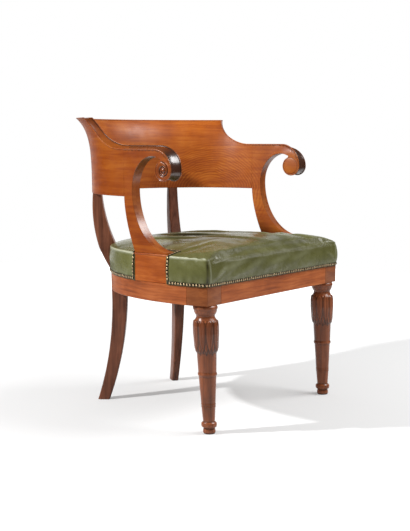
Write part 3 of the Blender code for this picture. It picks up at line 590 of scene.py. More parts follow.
@dataclass
class Shape:
    """Points and faces of a mesh in the making, with values on its points."""

    points: Array
    faces: Faces
    soil: Array | None = None
    surface: Array | None = None

    @classmethod
    def loft(cls, sections: Array, soil: Array | None = None, surface: Array | None = None) -> "Shape":
        """Closed skin over closed sections of equal count.

        Args:
            sections: Points by section, place and axis.
            soil: Dark polish, dirt and painted shade, by section and place.
            surface: Map by section, place and axis.

        Returns:
            The skin, with a face on its first and its last section.
        """
        count, places = sections.shape[:2]
        faces = grid_faces(count, places, ring=True)
        faces.append(tuple(range(places)))
        faces.append(tuple(range((count - 1) * places, count * places)))
        values = None if soil is None else np.asarray(soil, float).reshape(-1)
        laid = None if surface is None else surface.reshape(-1, 2)
        return cls(sections.reshape(-1, 3), faces, values, laid)

    @classmethod
    def prism(cls, outline: Array, low: float, high: float) -> "Shape":
        """Upright prism over a plan, between two heights."""
        return cls.loft(np.array([levelled(outline, low), levelled(outline, high)]))

    def mirrored(self, side: Side) -> "Shape":
        """The right-hand shape, or its mirror image for the left side."""
        flip = np.array([side.value, 1.0, 1.0])
        return Shape(self.points * flip, self.faces, self.soil, self.surface)


@dataclass
class Workshop:
    """Turns shapes into finished pieces that ride on the frame."""

    front: float

    def __post_init__(self) -> None:
        """Start with no materials made, and work out the move from the chair's measure to the frame."""
        self.finishes: dict[str, bpy.types.Material] = {}
        self.shift = np.array([0.0, self.front, 0.0])

    def finish(self, finish: Finish) -> bpy.types.Material:
        """The material of a finish, made once.

        Args:
            finish: The finish.

        Returns:
            Its material.
        """
        if finish.name not in self.finishes:
            self.finishes[finish.name] = finish.material()
        return self.finishes[finish.name]

    def mesh(self, name: str, shape: Shape) -> bpy.types.Mesh:
        """Mesh of a shape, moved from the chair's measure into the frame.

        Args:
            name: The mesh's name.
            shape: Points, faces and values.

        Returns:
            A welded mesh whose faces point outwards.
        """
        mesh = bpy.data.meshes.new(name)
        mesh.from_pydata((shape.points + self.shift).tolist(), [], shape.faces)
        if shape.soil is not None:
            store(mesh, "soil", shape.soil)
        if shape.surface is not None:
            corners = np.zeros(len(mesh.loops), np.int32)
            mesh.loops.foreach_get("vertex_index", corners)
            layer = mesh.uv_layers.new(name=Place.SURFACE.value)
            layer.data.foreach_set("uv", shape.surface[corners].astype(np.float32).ravel())
        tidy = bmesh.new()
        tidy.from_mesh(mesh)
        bmesh.ops.remove_doubles(tidy, verts=tidy.verts, dist=WELD)
        bmesh.ops.recalc_face_normals(tidy, faces=tidy.faces)
        tidy.to_mesh(mesh)
        tidy.free()
        return mesh

    def raw(self, name: str, shape: Shape) -> Object:
        """A shape as an object that isn't dressed yet."""
        return placed(name, self.mesh(name, shape))

    def combine(self, obj: Object, tools: Iterable[Object], operation: str) -> None:
        """Cut tools out of an object, or join them to it, and use them up.

        Args:
            obj: The object that changes.
            tools: Objects to cut out or to join.
            operation: Boolean operation.
        """
        for tool in tools:
            step = obj.modifiers.new("combine", "BOOLEAN")
            step.operation = operation
            step.solver = "EXACT"
            step.object = tool
            self.apply(obj)
            mesh = tool.data
            bpy.data.objects.remove(tool)
            bpy.data.meshes.remove(mesh)

    def apply(self, obj: Object) -> None:
        """Turn an object's modifiers into plain mesh.

        Args:
            obj: The object.
        """
        state = bpy.context.evaluated_depsgraph_get()
        state.update()
        result = bpy.data.meshes.new_from_object(obj.evaluated_get(state))
        obj.modifiers.clear()
        old = obj.data
        obj.data = result
        bpy.data.meshes.remove(old)

    def dress(self, obj: Object, finish: Finish, slot: str, nodes: Sequence[str]) -> Object:
        """Give a piece its finish and its place on the frame.

        Args:
            obj: The piece.
            finish: Its finish.
            slot: The record's material slot; not used.
            nodes: The nodes that it stands for.

        Returns:
            The piece.
        """
        obj.data.name = obj.name
        obj.data.materials.clear()
        obj.data.materials.append(self.finish(finish))
        obj.data.shade_smooth()
        obj.data.set_sharp_from_angle(angle=SMOOTH_ANGLE)
        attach(obj, BODY)
        if nodes:
            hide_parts(*nodes)
        log.info("%s: %d faces", obj.name, len(obj.data.polygons))
        return obj

    def make(self, node: str, shape: Shape, finish: Finish, slot: str = "mahogany") -> Object:
        """Make the polished piece that stands for a node."""
        return self.dress(self.raw(f"{node}_polished", shape), finish, slot, [node])

    def pair(self, pattern: str, shape: Shape, finish: Finish, slot: str = "mahogany") -> list[Object]:
        """Make a polished piece for each side, named by a pattern with a gap for the side."""
        return [self.make(pattern.format(side.hand), shape.mirrored(side), finish, slot) for side in Side]


@dataclass(frozen=True)
class Part:
    """A sub-assembly of the chair, with the workshop that makes its pieces."""

    shop: Workshop


# Back and arms

@dataclass(frozen=True)
class Moulding:
    """Edge of back and arms: a bead at each arris and a hollow between them, or plain eased arrises."""

    ease: float = 0.0008
    bead_down: Sequence[float] = (3.4, 3.0, 2.4, 1.6, 0.9, 0.3, 0.0, 0.0, 0.0, 0.0)
    bead_out: Sequence[float] = (0.0, 0.50, 0.85, 1.00, 0.85, 0.40, 0.0, 0.0, 0.0, 0.0)
    bead_over: Sequence[float] = (0.0, 0.0, 0.0, 0.0, 0.0, 0.0, 0.4, 1.3, 2.0, 2.5)
    bead_up: Sequence[float] = (0.0, 0.0, 0.0, 0.0, 0.0, 0.15, 0.35, 0.25, -0.60, -1.80)
    # Dark polish and painted shade across the bead: a dark line in the groove below it and at the hollow's
    # edge.
    bead_soil: Sequence[float] = (0.80, 0.30, 0.0, 0.0, 0.0, 0.0, 0.0, 0.10, 0.75, 1.0)
    hollow: float = 2.0
    hollow_edge: float = 2.9
    hollow_steps: int = 9

    def arris(self, weight: Array) -> tuple[Array, ...]:
        """Offsets of the points round an arris.

        Args:
            weight: 0 for plain, 1 for moulded, by station.

        Returns:
            Down, out, over and up in metres, each by station and place.
        """
        plain = np.linspace(0.0, 1.0, len(self.bead_down))
        share = weight[:, None]
        eased = (self.ease * (1.0 - plain), 0.0 * plain, self.ease * plain, 0.0 * plain)
        beaded = (self.bead_down, self.bead_out, self.bead_over, self.bead_up)
        return tuple(a + share * (np.array(b) * MILLIMETRE - a) for a, b in zip(eased, beaded))

    def strip(self, arrises: Pair, downs: Pair, outs: Pair, up: Array, weight: Array, stain: Array) -> Pair:
        """Points across the edge at each station.

        Args:
            arrises: Outer and inner arris.
            downs: Directions from each arris down its face.
            outs: Directions out of each face.
            up: Direction out of the edge.
            weight: 0 for plain, 1 for moulded, by station.
            stain: Dark polish and painted shade in the hollow, by station.

        Returns:
            Points by station and place, and dark polish with painted shade by station and place.
        """
        across = unit(arrises[1] - arrises[0])
        width = np.linalg.norm(arrises[1] - arrises[0], axis=1)
        down, out, over, rise = (part[:, :, None] for part in self.arris(weight))
        sides = []
        for arris, face, normal, sense in zip(arrises, downs, outs, (1.0, -1.0)):
            sides.append(arris[:, None] + face[:, None] * down + normal[:, None] * out
                         + sense * across[:, None] * over + up[:, None] * rise)
        start = self.ease + weight * (self.hollow_edge * MILLIMETRE - self.ease)
        share = np.linspace(0.0, 1.0, self.hollow_steps + 2)[1:-1]
        over = start[:, None] + (width - 2.0 * start)[:, None] * share
        depth = self.bead_up[-1] - self.hollow * (1.0 - (2.0 * share - 1.0) ** 2)
        dip = depth * MILLIMETRE * weight[:, None]
        middle = arrises[0][:, None] + across[:, None] * over[:, :, None] + up[:, None] * dip[:, :, None]
        # Painted shade and dark polish: the beads take theirs from the profile, the hollow from each
        # station's value.
        half = np.tile(self.bead_soil, (len(weight), 1))
        hollow = np.repeat(stain[:, None], self.hollow_steps, axis=1)
        soil = weight[:, None] * np.concatenate([half, hollow, half[:, ::-1]], axis=1)
        return np.concatenate([sides[0], middle, sides[1][:, ::-1]], axis=1), soil


@dataclass(frozen=True)
class Horseshoe(Part):
    """Horseshoe back: a panel on the stiles and two wings that step down to the arms."""

    radius: float = 0.3047
    centre: float = 0.256
    thick: float = 0.022
    arm_thick: float = 0.030
    bottom: float = 0.595
    top: float = 0.800
    arm_top: float = 0.728
    fall: float = 0.009
    flare: float = 0.042
    flare_length: float = 0.040
    flare_full: float = math.radians(24.0)
    step_start: float = 0.0145
    step_length: float = 0.101
    splay: float = math.radians(3.86)
    thin_angle: float = math.radians(35.0)
    joint: float = math.radians(43.0)
    rows: int = 22
    row_power: float = 1.6
    panel_stations: int = 97
    step_stations: int = 45
    outer_map: float = 1.3
    # Painted shade and dark polish in the hollow of the back's moulding.
    stain: float = 0.35
    moulding: Moulding = Moulding()

    @property
    def arm_joint(self) -> float:
        """Depth of the joint between wing and arm, at the outer face."""
        return self.centre + self.radius * math.sin(self.splay)

    def tops(self, angle: Array) -> Pair:
        """Heights of the upper arrises.

        Args:
            angle: Angles round the horseshoe.

        Returns:
            Heights of the outer and the inner arris.
        """
        depth = self.centre + self.radius * np.sin(angle)
        share = np.clip((depth - self.arm_joint - self.step_start) / self.step_length, 0.0, 1.0)
        drop = np.sqrt(1.0 - share**2)
        rise = self.top - self.arm_top
        return self.top - (rise + self.fall) * drop, self.top - rise * drop

    def grown(self, angle: Array, full: float) -> Array:
        """Weight that grows from 0 at the nearer arm's joint to 1 at a full angle from it."""
        return ease((np.minimum(angle, math.pi - angle) - self.splay) / (full - self.splay))

    def reach(self, angle: Array, height: Array) -> Array:
        """Distance of the outer face from the horseshoe's axis."""
        flare = self.grown(angle, self.flare_full) * self.flare
        return self.radius + flare * np.exp((height - self.top) / self.flare_length)

    def thickness(self, angle: Array) -> Array:
        """Thickness of the board, which grows towards the arms."""
        return self.arm_thick + (self.thick - self.arm_thick) * self.grown(angle, self.thin_angle)

    def at(self, radial: Array, reach: Array, height: Array | float) -> Array:
        """Points at distances from the axis and at heights."""
        return levelled((radial * reach[:, None])[:, :2] + np.array([0.0, self.centre]), height)

    def shape(self, angles: Array) -> Shape:
        """Skin of a stretch of the back.

        Args:
            angles: Angles round the horseshoe, from the right.

        Returns:
            The closed skin, with its map along the board.
        """
        radial = np.stack([np.cos(angles), np.sin(angles), 0.0 * angles], axis=1)
        insets = (0.0 * angles, self.thickness(angles))
        arrises, downs, outs = [], [], []
        for top, inset, sense in zip(self.tops(angles), insets, (1.0, -1.0)):
            reach = self.reach(angles, top)
            slope = ((reach - self.radius) / self.flare_length)[:, None]
            arrises.append(self.at(radial, reach - inset, top))
            downs.append(unit(-slope * radial - UPWARD))
            outs.append(sense * unit(radial - slope * UPWARD))
        across = unit(arrises[1] - arrises[0])
        up = unit(UPWARD - across * across[:, 2:3])
        whole = np.ones_like(angles)
        strip, soil = self.moulding.strip(arrises, downs, outs, up, whole, self.stain * whole)
        edge = self.moulding.ease
        faces = []
        for end, inset, sense in zip((strip[:, 0, 2], strip[:, -1, 2]), insets, (1.0, -1.0)):
            low = self.reach(angles, self.bottom) - inset - sense * edge
            rows = [self.at(radial, low, self.bottom)]
            for row in range(self.rows):
                share = 1.0 - (1.0 - row / self.rows) ** self.row_power
                height = self.bottom + edge + (end - self.bottom - edge) * share
                rows.append(self.at(radial, self.reach(angles, height) - inset, height))
            faces.append(np.stack(rows, axis=1))
        sections = np.concatenate([faces[0], strip, faces[1][:, ::-1]], axis=1)
        plain = np.zeros(faces[0].shape[:2])
        run = np.repeat((angles * self.radius)[:, None], sections.shape[1], axis=1)
        run[:, :faces[0].shape[1] + strip.shape[1] // 2] += self.outer_map
        laid = np.stack([run, sections[:, :, 2] - self.bottom], axis=2)
        return Shape.loft(sections, np.concatenate([plain, soil, plain], axis=1), laid)

    def build(self) -> None:
        """Make the panel and both wings."""
        panel = np.linspace(self.joint, math.pi - self.joint, self.panel_stations)
        self.shop.make("back_panel", self.shape(panel), PANEL_WOOD)
        share = np.sin(np.linspace(0.0, math.pi / 2.0, self.step_stations))
        depth = self.arm_joint + self.step_start + self.step_length * share
        step = np.arcsin((depth - self.centre) / self.radius)
        first = np.linspace(self.splay, step[0], 5)[:-1]
        last = np.linspace(step[-1], self.joint, 17)[1:]
        self.shop.pair("{}_wing_panel", self.shape(np.concatenate([first, step, last])), PANEL_WOOD)


@dataclass(frozen=True)
class Volute:
    """Carving on the outer face of an arm's scroll: a groove that winds in to an eye."""

    start: float = math.radians(68.0)
    turns: float = 1.80
    windings: int = 3
    eye: float = 0.0046
    wind: float = 0.0128
    entry: float = 0.0085
    entry_turn: float = 0.70
    depth: float = 0.0021
    width: float = 0.0012
    bank: float = 2.2
    swell: float = 0.0011
    reach: float = 0.0245
    fade: float = 0.004
    soil_past: float = 0.003

    def groove(self, turn: Array) -> Array:
        """Radius of the groove after a turn from the notch."""
        share = turn / (FULL_TURN * self.turns)
        return self.eye + self.wind * (1.0 - share) + self.entry * np.exp(-turn / self.entry_turn)

    def relief(self, radius: Array, angle: Array) -> Pair:
        """Height of the carving, and painted shade in its groove.

        Args:
            radius: Distances from the volute's axis.
            angle: Angles about it.

        Returns:
            Heights above the plain face, and painted shade in the groove from 0 to 1.
        """
        away = np.full_like(radius, 1.0)
        for winding in range(self.windings):
            turn = np.mod(angle - self.start, FULL_TURN) + FULL_TURN * winding
            near = np.abs(radius - self.groove(turn))
            away = np.where(turn <= FULL_TURN * self.turns, np.minimum(away, near), away)
        cut = bell(away, self.width)
        dome = np.sqrt(np.clip(1.0 - (radius / self.eye) ** 2, 0.0, 1.0))
        height = self.swell * (1.0 - bell(away, self.bank * self.width)) - self.depth * cut
        raised = ease((self.reach - radius) / self.fade) * (height + self.swell * dome)
        # Painted shade along the groove, reaching a little past the carving.
        return raised, ease((self.reach + self.soil_past - radius) / self.fade) * cut


@dataclass(frozen=True)
class Arm(Part):
    """Plank arm: a flat top that sweeps down into a volute, a C-shaped support and a foot."""

    back: Horseshoe
    scroll_thick: float = 0.041
    scroll_full: float = 0.035
    scroll_fade: float = 0.085
    drop: float = 0.064
    sweep_radius: float = 0.062
    sweep_depth: float = 0.172
    volute_radius: float = 0.0275
    gap_rear: float = 0.247
    gap_middle: float = 0.616
    gap_top: float = 0.700
    gap_top_depth: float = 0.175
    toe: float = 0.005
    foot: float = 0.4523
    foot_front: float = 0.122
    foot_rear: float = 0.238
    power: float = 1.7
    moulding_stop: float = 0.002
    moulding_fade: float = 0.012
    boss: float = 0.0015
    boss_reach: float = 0.0235
    boss_quirk: float = 0.0012
    fine: float = 0.0008
    coarse: float = 0.006
    rim_clear: float = 0.0006
    seam_points: int = 22
    # Painted shade in the arm's hollow, nearly black round the scroll, where it also stands for a painted
    # dark reflection.
    stain: float = 1.0
    # How much darker the whole carved volute is made.
    scroll_stain: float = 0.38
    stain_inset: float = 0.002
    stain_fade: float = 0.006
    turn_inset: float = 0.010
    turn_fade: float = 0.035
    edge_turn: float = 0.93
    volute: Volute = Volute()

    @property
    def axis(self) -> Array:
        """Depth and height of the volute's axis."""
        depth = self.sweep_depth - self.sweep_radius + self.volute_radius
        return np.array([depth, self.back.arm_top - self.drop])

    def point(self, depth: Array, inset: Array) -> Array:
        """Level places on the right arm's plank.

        Args:
            depth: Depths along its outer face.
            inset: Distances in from that face.

        Returns:
            Places across and along the chair.
        """
        sine, cosine = math.sin(self.back.splay), math.cos(self.back.splay)
        along = (depth - self.back.arm_joint) / cosine
        x = self.back.radius * cosine - along * sine - inset * cosine
        return np.stack([x, depth - inset * sine], axis=-1)

    def rear(self, height: Array) -> Array:
        """Depth of the support's rear edge.

        Args:
            height: Heights on it.

        Returns:
            Depths.
        """
        end = self.back.arm_joint
        share = np.clip((self.back.bottom - height) / (self.back.bottom - self.foot), 0.0, 1.0)
        return end - (end - self.foot_rear) * share**self.power

    def arc(self, centre: Sequence[float], radii: Sequence[float], ends: Sequence[float],
            steps: int) -> Array:
        """Points along an elliptical arc from one angle to another."""
        angle = np.linspace(*ends, steps + 1)
        return np.array(centre) + np.array(radii) * np.stack([np.cos(angle), np.sin(angle)], axis=1)

    def outline(self, fall: float) -> Pair:
        """Side view of the arm and how far its edge is moulded.

        Args:
            fall: How much the top lies lower.

        Returns:
            Points of (depth, height) from the joint's top to its bottom, and weights from 0 to 1.
        """
        axis, radius, start = self.axis, self.volute_radius, self.volute.start
        quarter = math.pi / 2.0
        notch = axis[0] + radius * math.cos(start)
        upper = (self.gap_rear - self.gap_top_depth, self.gap_top - self.gap_middle)
        lower = (self.gap_rear - self.foot_front, self.gap_middle - self.foot - self.toe)
        leave = math.acos((notch - self.gap_top_depth) / upper[0])
        level = np.linspace(self.back.arm_joint, self.sweep_depth, 13)[:-1]
        rise = np.linspace(self.foot, self.back.bottom, 25)
        sole = np.linspace(self.foot_front, self.foot_rear, 13)[:-1]
        sweep = (self.sweep_radius, self.drop - fall)
        parts = [
            np.stack([level, np.full_like(level, self.back.arm_top - fall)], axis=1),
            self.arc((self.sweep_depth, axis[1]), sweep, (quarter, math.pi), 34),
            self.arc(axis, (radius, radius), (math.pi, FULL_TURN + start), 72)[1:],
            self.arc((self.gap_top_depth, self.gap_middle), upper, (leave, 0.0), 32),
            self.arc((self.foot_front, self.gap_middle), lower, (0.0, -quarter), 44)[1:],
            np.stack([sole, np.full_like(sole, self.foot)], axis=1),
            np.stack([self.rear(rise), rise], axis=1),
        ]
        moulded = sum(len(part) for part in parts[:3])
        points = np.concatenate(parts)
        run = run_length(points)
        return points, ease((run[moulded - 1] - self.moulding_stop - run) / self.moulding_fade)

    def normals(self, points: Array) -> Array:
        """Directions out of the outline.

        Args:
            points: The outline, in the side view.

        Returns:
            Directions in the side view.
        """
        ahead = unit(np.diff(points, axis=0, append=points[-1:] * 2.0 - points[-2:-1]))
        behind = np.concatenate([ahead[:1], ahead[:-1]])
        along = unit(ahead + behind)
        return np.stack([along[:, 1], -along[:, 0]], axis=1)

    def inset(self, points: Array) -> Array:
        """Thickness of the plank, which grows inwards at the scroll.

        Args:
            points: Places in the side view.

        Returns:
            Thicknesses.
        """
        away = np.linalg.norm(points - self.axis, axis=1)
        share = ease((self.scroll_fade - away) / (self.scroll_fade - self.scroll_full))
        return self.back.arm_thick + (self.scroll_thick - self.back.arm_thick) * share

    def lift(self, vectors: Array) -> Array:
        """Directions of the side view in space."""
        along = np.array([-math.sin(self.back.splay), math.cos(self.back.splay), 0.0])
        return vectors[:, :1] * along + vectors[:, 1:] * UPWARD

    def cap(self, rim: Array, outer: bool) -> tuple[Array, Faces, Array]:
        """A face of the plank inside its edge, with the scroll's carving.

        Args:
            rim: Points along the face's rim.
            outer: Whether it is the carved outer face.

        Returns:
            Points beyond the rim's, faces that number the rim's points first, and darkening on the new
            points: painted shade in the groove and round the boss, and a darker volute.
        """
        flat = rim[:, 1:].copy()
        low, high = flat.min(axis=0), flat.max(axis=0)
        seeds = []
        for step, near in ((self.fine, True), (self.coarse, False)):
            across, level = np.meshgrid(np.arange(low[0], high[0], step), np.arange(low[1], high[1], step))
            level = level + 0.5 * step * (np.arange(level.shape[1]) % 2)
            spots = np.stack([across.ravel(), level.ravel()], axis=1)
            away = np.linalg.norm(spots - self.axis, axis=1)
            seeds.append(spots[(away < self.volute.reach + self.volute.soil_past) == near])
        seeds = self.inside(np.concatenate(seeds), flat)
        points = [Vector(p) for p in np.concatenate([flat, seeds])]
        found = delaunay_2d_cdt(points, [], [list(range(len(flat)))], 1, 1e-9)
        faces = [tuple(found[3][v][0] for v in face) for face in found[2]]
        offset = seeds - self.axis
        radius, angle = np.linalg.norm(offset, axis=1), np.arctan2(offset[:, 1], offset[:, 0])
        if outer:
            raised, soil = self.volute.relief(radius, angle)
            # Painted shade in the groove, and the whole carved volute made darker.
            inner = ease((self.volute.reach - self.stain_inset - radius) / self.stain_fade)
            soil = np.maximum(soil, self.scroll_stain * inner)
            place = self.point(seeds[:, 0], -raised)
        else:
            dome = np.clip(1.0 - (radius / self.boss_reach) ** 2, 0.0, 1.0) ** 0.7
            # Painted shade in the quirk round the boss.
            soil = 0.5 * bell(radius - self.boss_reach, self.boss_quirk)
            depth = seeds[:, 0] + self.inset(seeds) * math.sin(self.back.splay)
            place = self.point(depth, self.inset(seeds) + self.boss * dome)
        return levelled(place, seeds[:, 1]), faces, soil

    def inside(self, spots: Array, rim: Array) -> Array:
        """Those spots that lie inside a rim and clear of it.

        Args:
            spots: Places in the side view.
            rim: Closed outline in the side view.

        Returns:
            The spots that are kept.
        """
        within = np.zeros(len(spots), bool)
        near = np.full(len(spots), 1.0)
        for a, b in zip(rim, np.roll(rim, -1, axis=0)):
            span = b - a
            crosses = (a[1] > spots[:, 1]) != (b[1] > spots[:, 1])
            if abs(span[1]) > 1e-12:
                within ^= crosses & (spots[:, 0] < a[0] + span[0] * (spots[:, 1] - a[1]) / span[1])
            share = np.clip((spots - a) @ span / max(span @ span, 1e-15), 0.0, 1.0)
            near = np.minimum(near, np.linalg.norm(spots - a - share[:, None] * span, axis=1))
        return spots[within & (near > self.rim_clear)]

    def edge(self) -> Pair:
        """The right arm's moulded edge.

        Returns:
            Points, and dark polish with painted shade, by station and place.
        """
        outer, weight = self.outline(self.back.fall)
        inner = self.outline(0.0)[0]
        normal = self.lift(unit(self.normals(outer) + self.normals(inner)))
        out = np.array([math.cos(self.back.splay), math.sin(self.back.splay), 0.0])
        outs = (np.tile(out, (len(outer), 1)), np.tile(-out, (len(outer), 1)))
        sides = []
        for points, inset in ((outer, np.zeros(len(outer))), (inner, self.inset(inner))):
            sides.append(levelled(self.point(points[:, 0], inset), points[:, 1]))
        # The hollow's painted shade and dark polish grow from the back's value to the scroll's as the arm
        # turns down.
        turned = ease((self.sweep_depth - self.turn_inset - outer[:, 0]) / self.turn_fade)
        stain = self.back.stain + (self.stain - self.back.stain) * turned
        return self.back.moulding.strip(sides, (-normal, -normal), outs, normal, weight, stain)

    def shape(self) -> Shape:
        """Skin of the right arm.

        Returns:
            The closed skin, with its map along the back's board.
        """
        strip, soil = self.edge()
        stations, places = strip.shape[:2]
        points, values = [strip.reshape(-1, 3)], [soil.ravel()]
        faces = grid_faces(stations, places)
        count = stations * places
        seams = []
        for column, is_outer in ((0, True), (places - 1, False)):
            share = np.linspace(0.0, 1.0, self.seam_points + 2)[1:-1, None]
            seam = strip[-1, column] + (strip[0, column] - strip[-1, column]) * share
            extra, cap, dirt = self.cap(np.concatenate([strip[:, column], seam]), is_outer)
            numbers = [station * places + column for station in range(stations)]
            seams.append(range(count, count + len(seam)))
            numbers += range(count, count + len(seam) + len(extra))
            faces += [tuple(numbers[v] for v in face) for face in cap]
            points += [seam, extra]
            values += [np.zeros(len(seam)), dirt]
            count += len(seam) + len(extra)
        last = range((stations - 1) * places, stations * places)
        faces.append((*range(places), *reversed(seams[1]), *reversed(last), *seams[0]))
        joined = np.concatenate(points)
        run = self.back.radius * self.back.splay - (self.back.arm_joint - joined[:, 1])
        middle = self.point(joined[:, 1], np.full(len(joined), self.back.arm_thick / 2.0))[:, 0]
        run = np.where(joined[:, 0] > middle, run + self.back.outer_map, run)
        laid = np.stack([run, joined[:, 2] - self.back.bottom], axis=1)
        return Shape(joined, faces, np.concatenate(values), laid)

    def build(self) -> None:
        """Make both arms, with a darker, glossier copy of the wood round their edges; its darker colour is
        painted shade.
        """
        for arm in self.shop.pair("{}_arm", self.shape(), PANEL_WOOD):
            # Faces that turn away from the side take the darker copy, painted shade.
            arm.data.materials.append(self.shop.finish(SHADED_EDGE_WOOD))
            for face in arm.data.polygons:
                face.material_index = int(abs(face.normal.x) < self.edge_turn)


# Seat frame and legs

def rounded(corners: Sequence[Sequence[float]], radius: float, steps: int = 3) -> Array:
    """Outline of a convex plan with its sharp corners rounded.

    Args:
        corners: The plan's points in order.
        radius: Length taken off each side of a sharp corner.
        steps: Pieces of a rounding.

    Returns:
        The outline's points.
    """
    plan = np.asarray(corners, float)
    outline = []
    for before, here, after in zip(np.roll(plan, 1, axis=0), plan, np.roll(plan, -1, axis=0)):
        back, ahead = unit(before - here), unit(after - here)
        if back @ ahead < BLUNT_COSINE:
            outline.append(here)
            continue
        for share in np.linspace(0.0, 1.0, steps + 1):
            outline.append(here + radius * (back * (1.0 - share) ** 2 + ahead * share**2))
    return np.array(outline)


@dataclass(frozen=True)
class SeatPlan:
    """Plan of the seat frame's outside: a straight front, bowed sides and a rounded rear."""

    front_half: float = 0.309
    side_half: float = 0.320
    widest: float = 0.080
    rear: float = 0.490
    squareness: float = 2.2
    side_steps: int = 14
    rear_steps: int = 64
    front_steps: int = 60

    def half(self, depth: Array | float) -> Array:
        """Half width of the plan.

        Args:
            depth: Depths from the front.

        Returns:
            Half widths there.
        """
        depth = np.asarray(depth, float)
        front = self.side_half - (self.side_half - self.front_half) * (1.0 - depth / self.widest) ** 2
        share = np.clip((depth - self.widest) / (self.rear - self.widest), 0.0, 1.0)
        behind = self.side_half * (1.0 - share**self.squareness) ** (1.0 / self.squareness)
        return np.where(depth < self.widest, front, behind)

    def right(self) -> Pair:
        """The right half, from the front corner to the middle of the rear.

        Returns:
            Points and outward normals.
        """
        front = np.linspace(0.0, self.widest, self.side_steps + 1)[:-1]
        turn = np.linspace(0.0, math.pi / 2.0, self.rear_steps + 1)
        power = 2.0 / self.squareness
        across = np.clip(np.cos(turn), 0.0, 1.0) ** power
        along = np.clip(np.sin(turn), 0.0, 1.0) ** power
        reach = self.rear - self.widest
        points = np.concatenate([np.stack([self.half(front), front], axis=1),
                                 np.stack([self.side_half * across, self.widest + reach * along], axis=1)])
        bow = 2.0 * (self.side_half - self.front_half) * (1.0 - front / self.widest) / self.widest
        lean = self.squareness - 1.0
        normals = np.concatenate([np.stack([np.ones_like(bow), -bow], axis=1),
                                  np.stack([across**lean / self.side_half, along**lean / reach], axis=1)])
        return points, unit(normals)

    def ring(self, offset: float) -> Array:
        """Closed outline, from the right front corner round the rear.

        Args:
            offset: How far it is moved outwards.

        Returns:
            The outline's points.
        """
        points, normals = self.right()
        half = points + normals * offset
        bow = -normals[0, 1] / normals[0, 0]
        half[0] = (half[0, 0] + (-offset - half[0, 1]) * bow, -offset)
        share = np.linspace(-1.0, 1.0, self.front_steps + 1)[1:-1]
        front = np.stack([half[0, 0] * share, np.full_like(share, -offset)], axis=1)
        return np.concatenate([half, half[-2::-1] * MIRROR, front])

    def reach(self, angle: float, centre: float) -> float:
        """Distance from a point on the middle line to the outline.

        Args:
            angle: Direction, from straight back.
            centre: Depth of the point.

        Returns:
            The distance.
        """
        ring = self.ring(0.0) - np.array([0.0, centre])
        turned = np.arctan2(ring[:, 0], ring[:, 1])
        order = np.argsort(turned)
        return float(np.interp(angle, turned[order], np.linalg.norm(ring, axis=1)[order]))


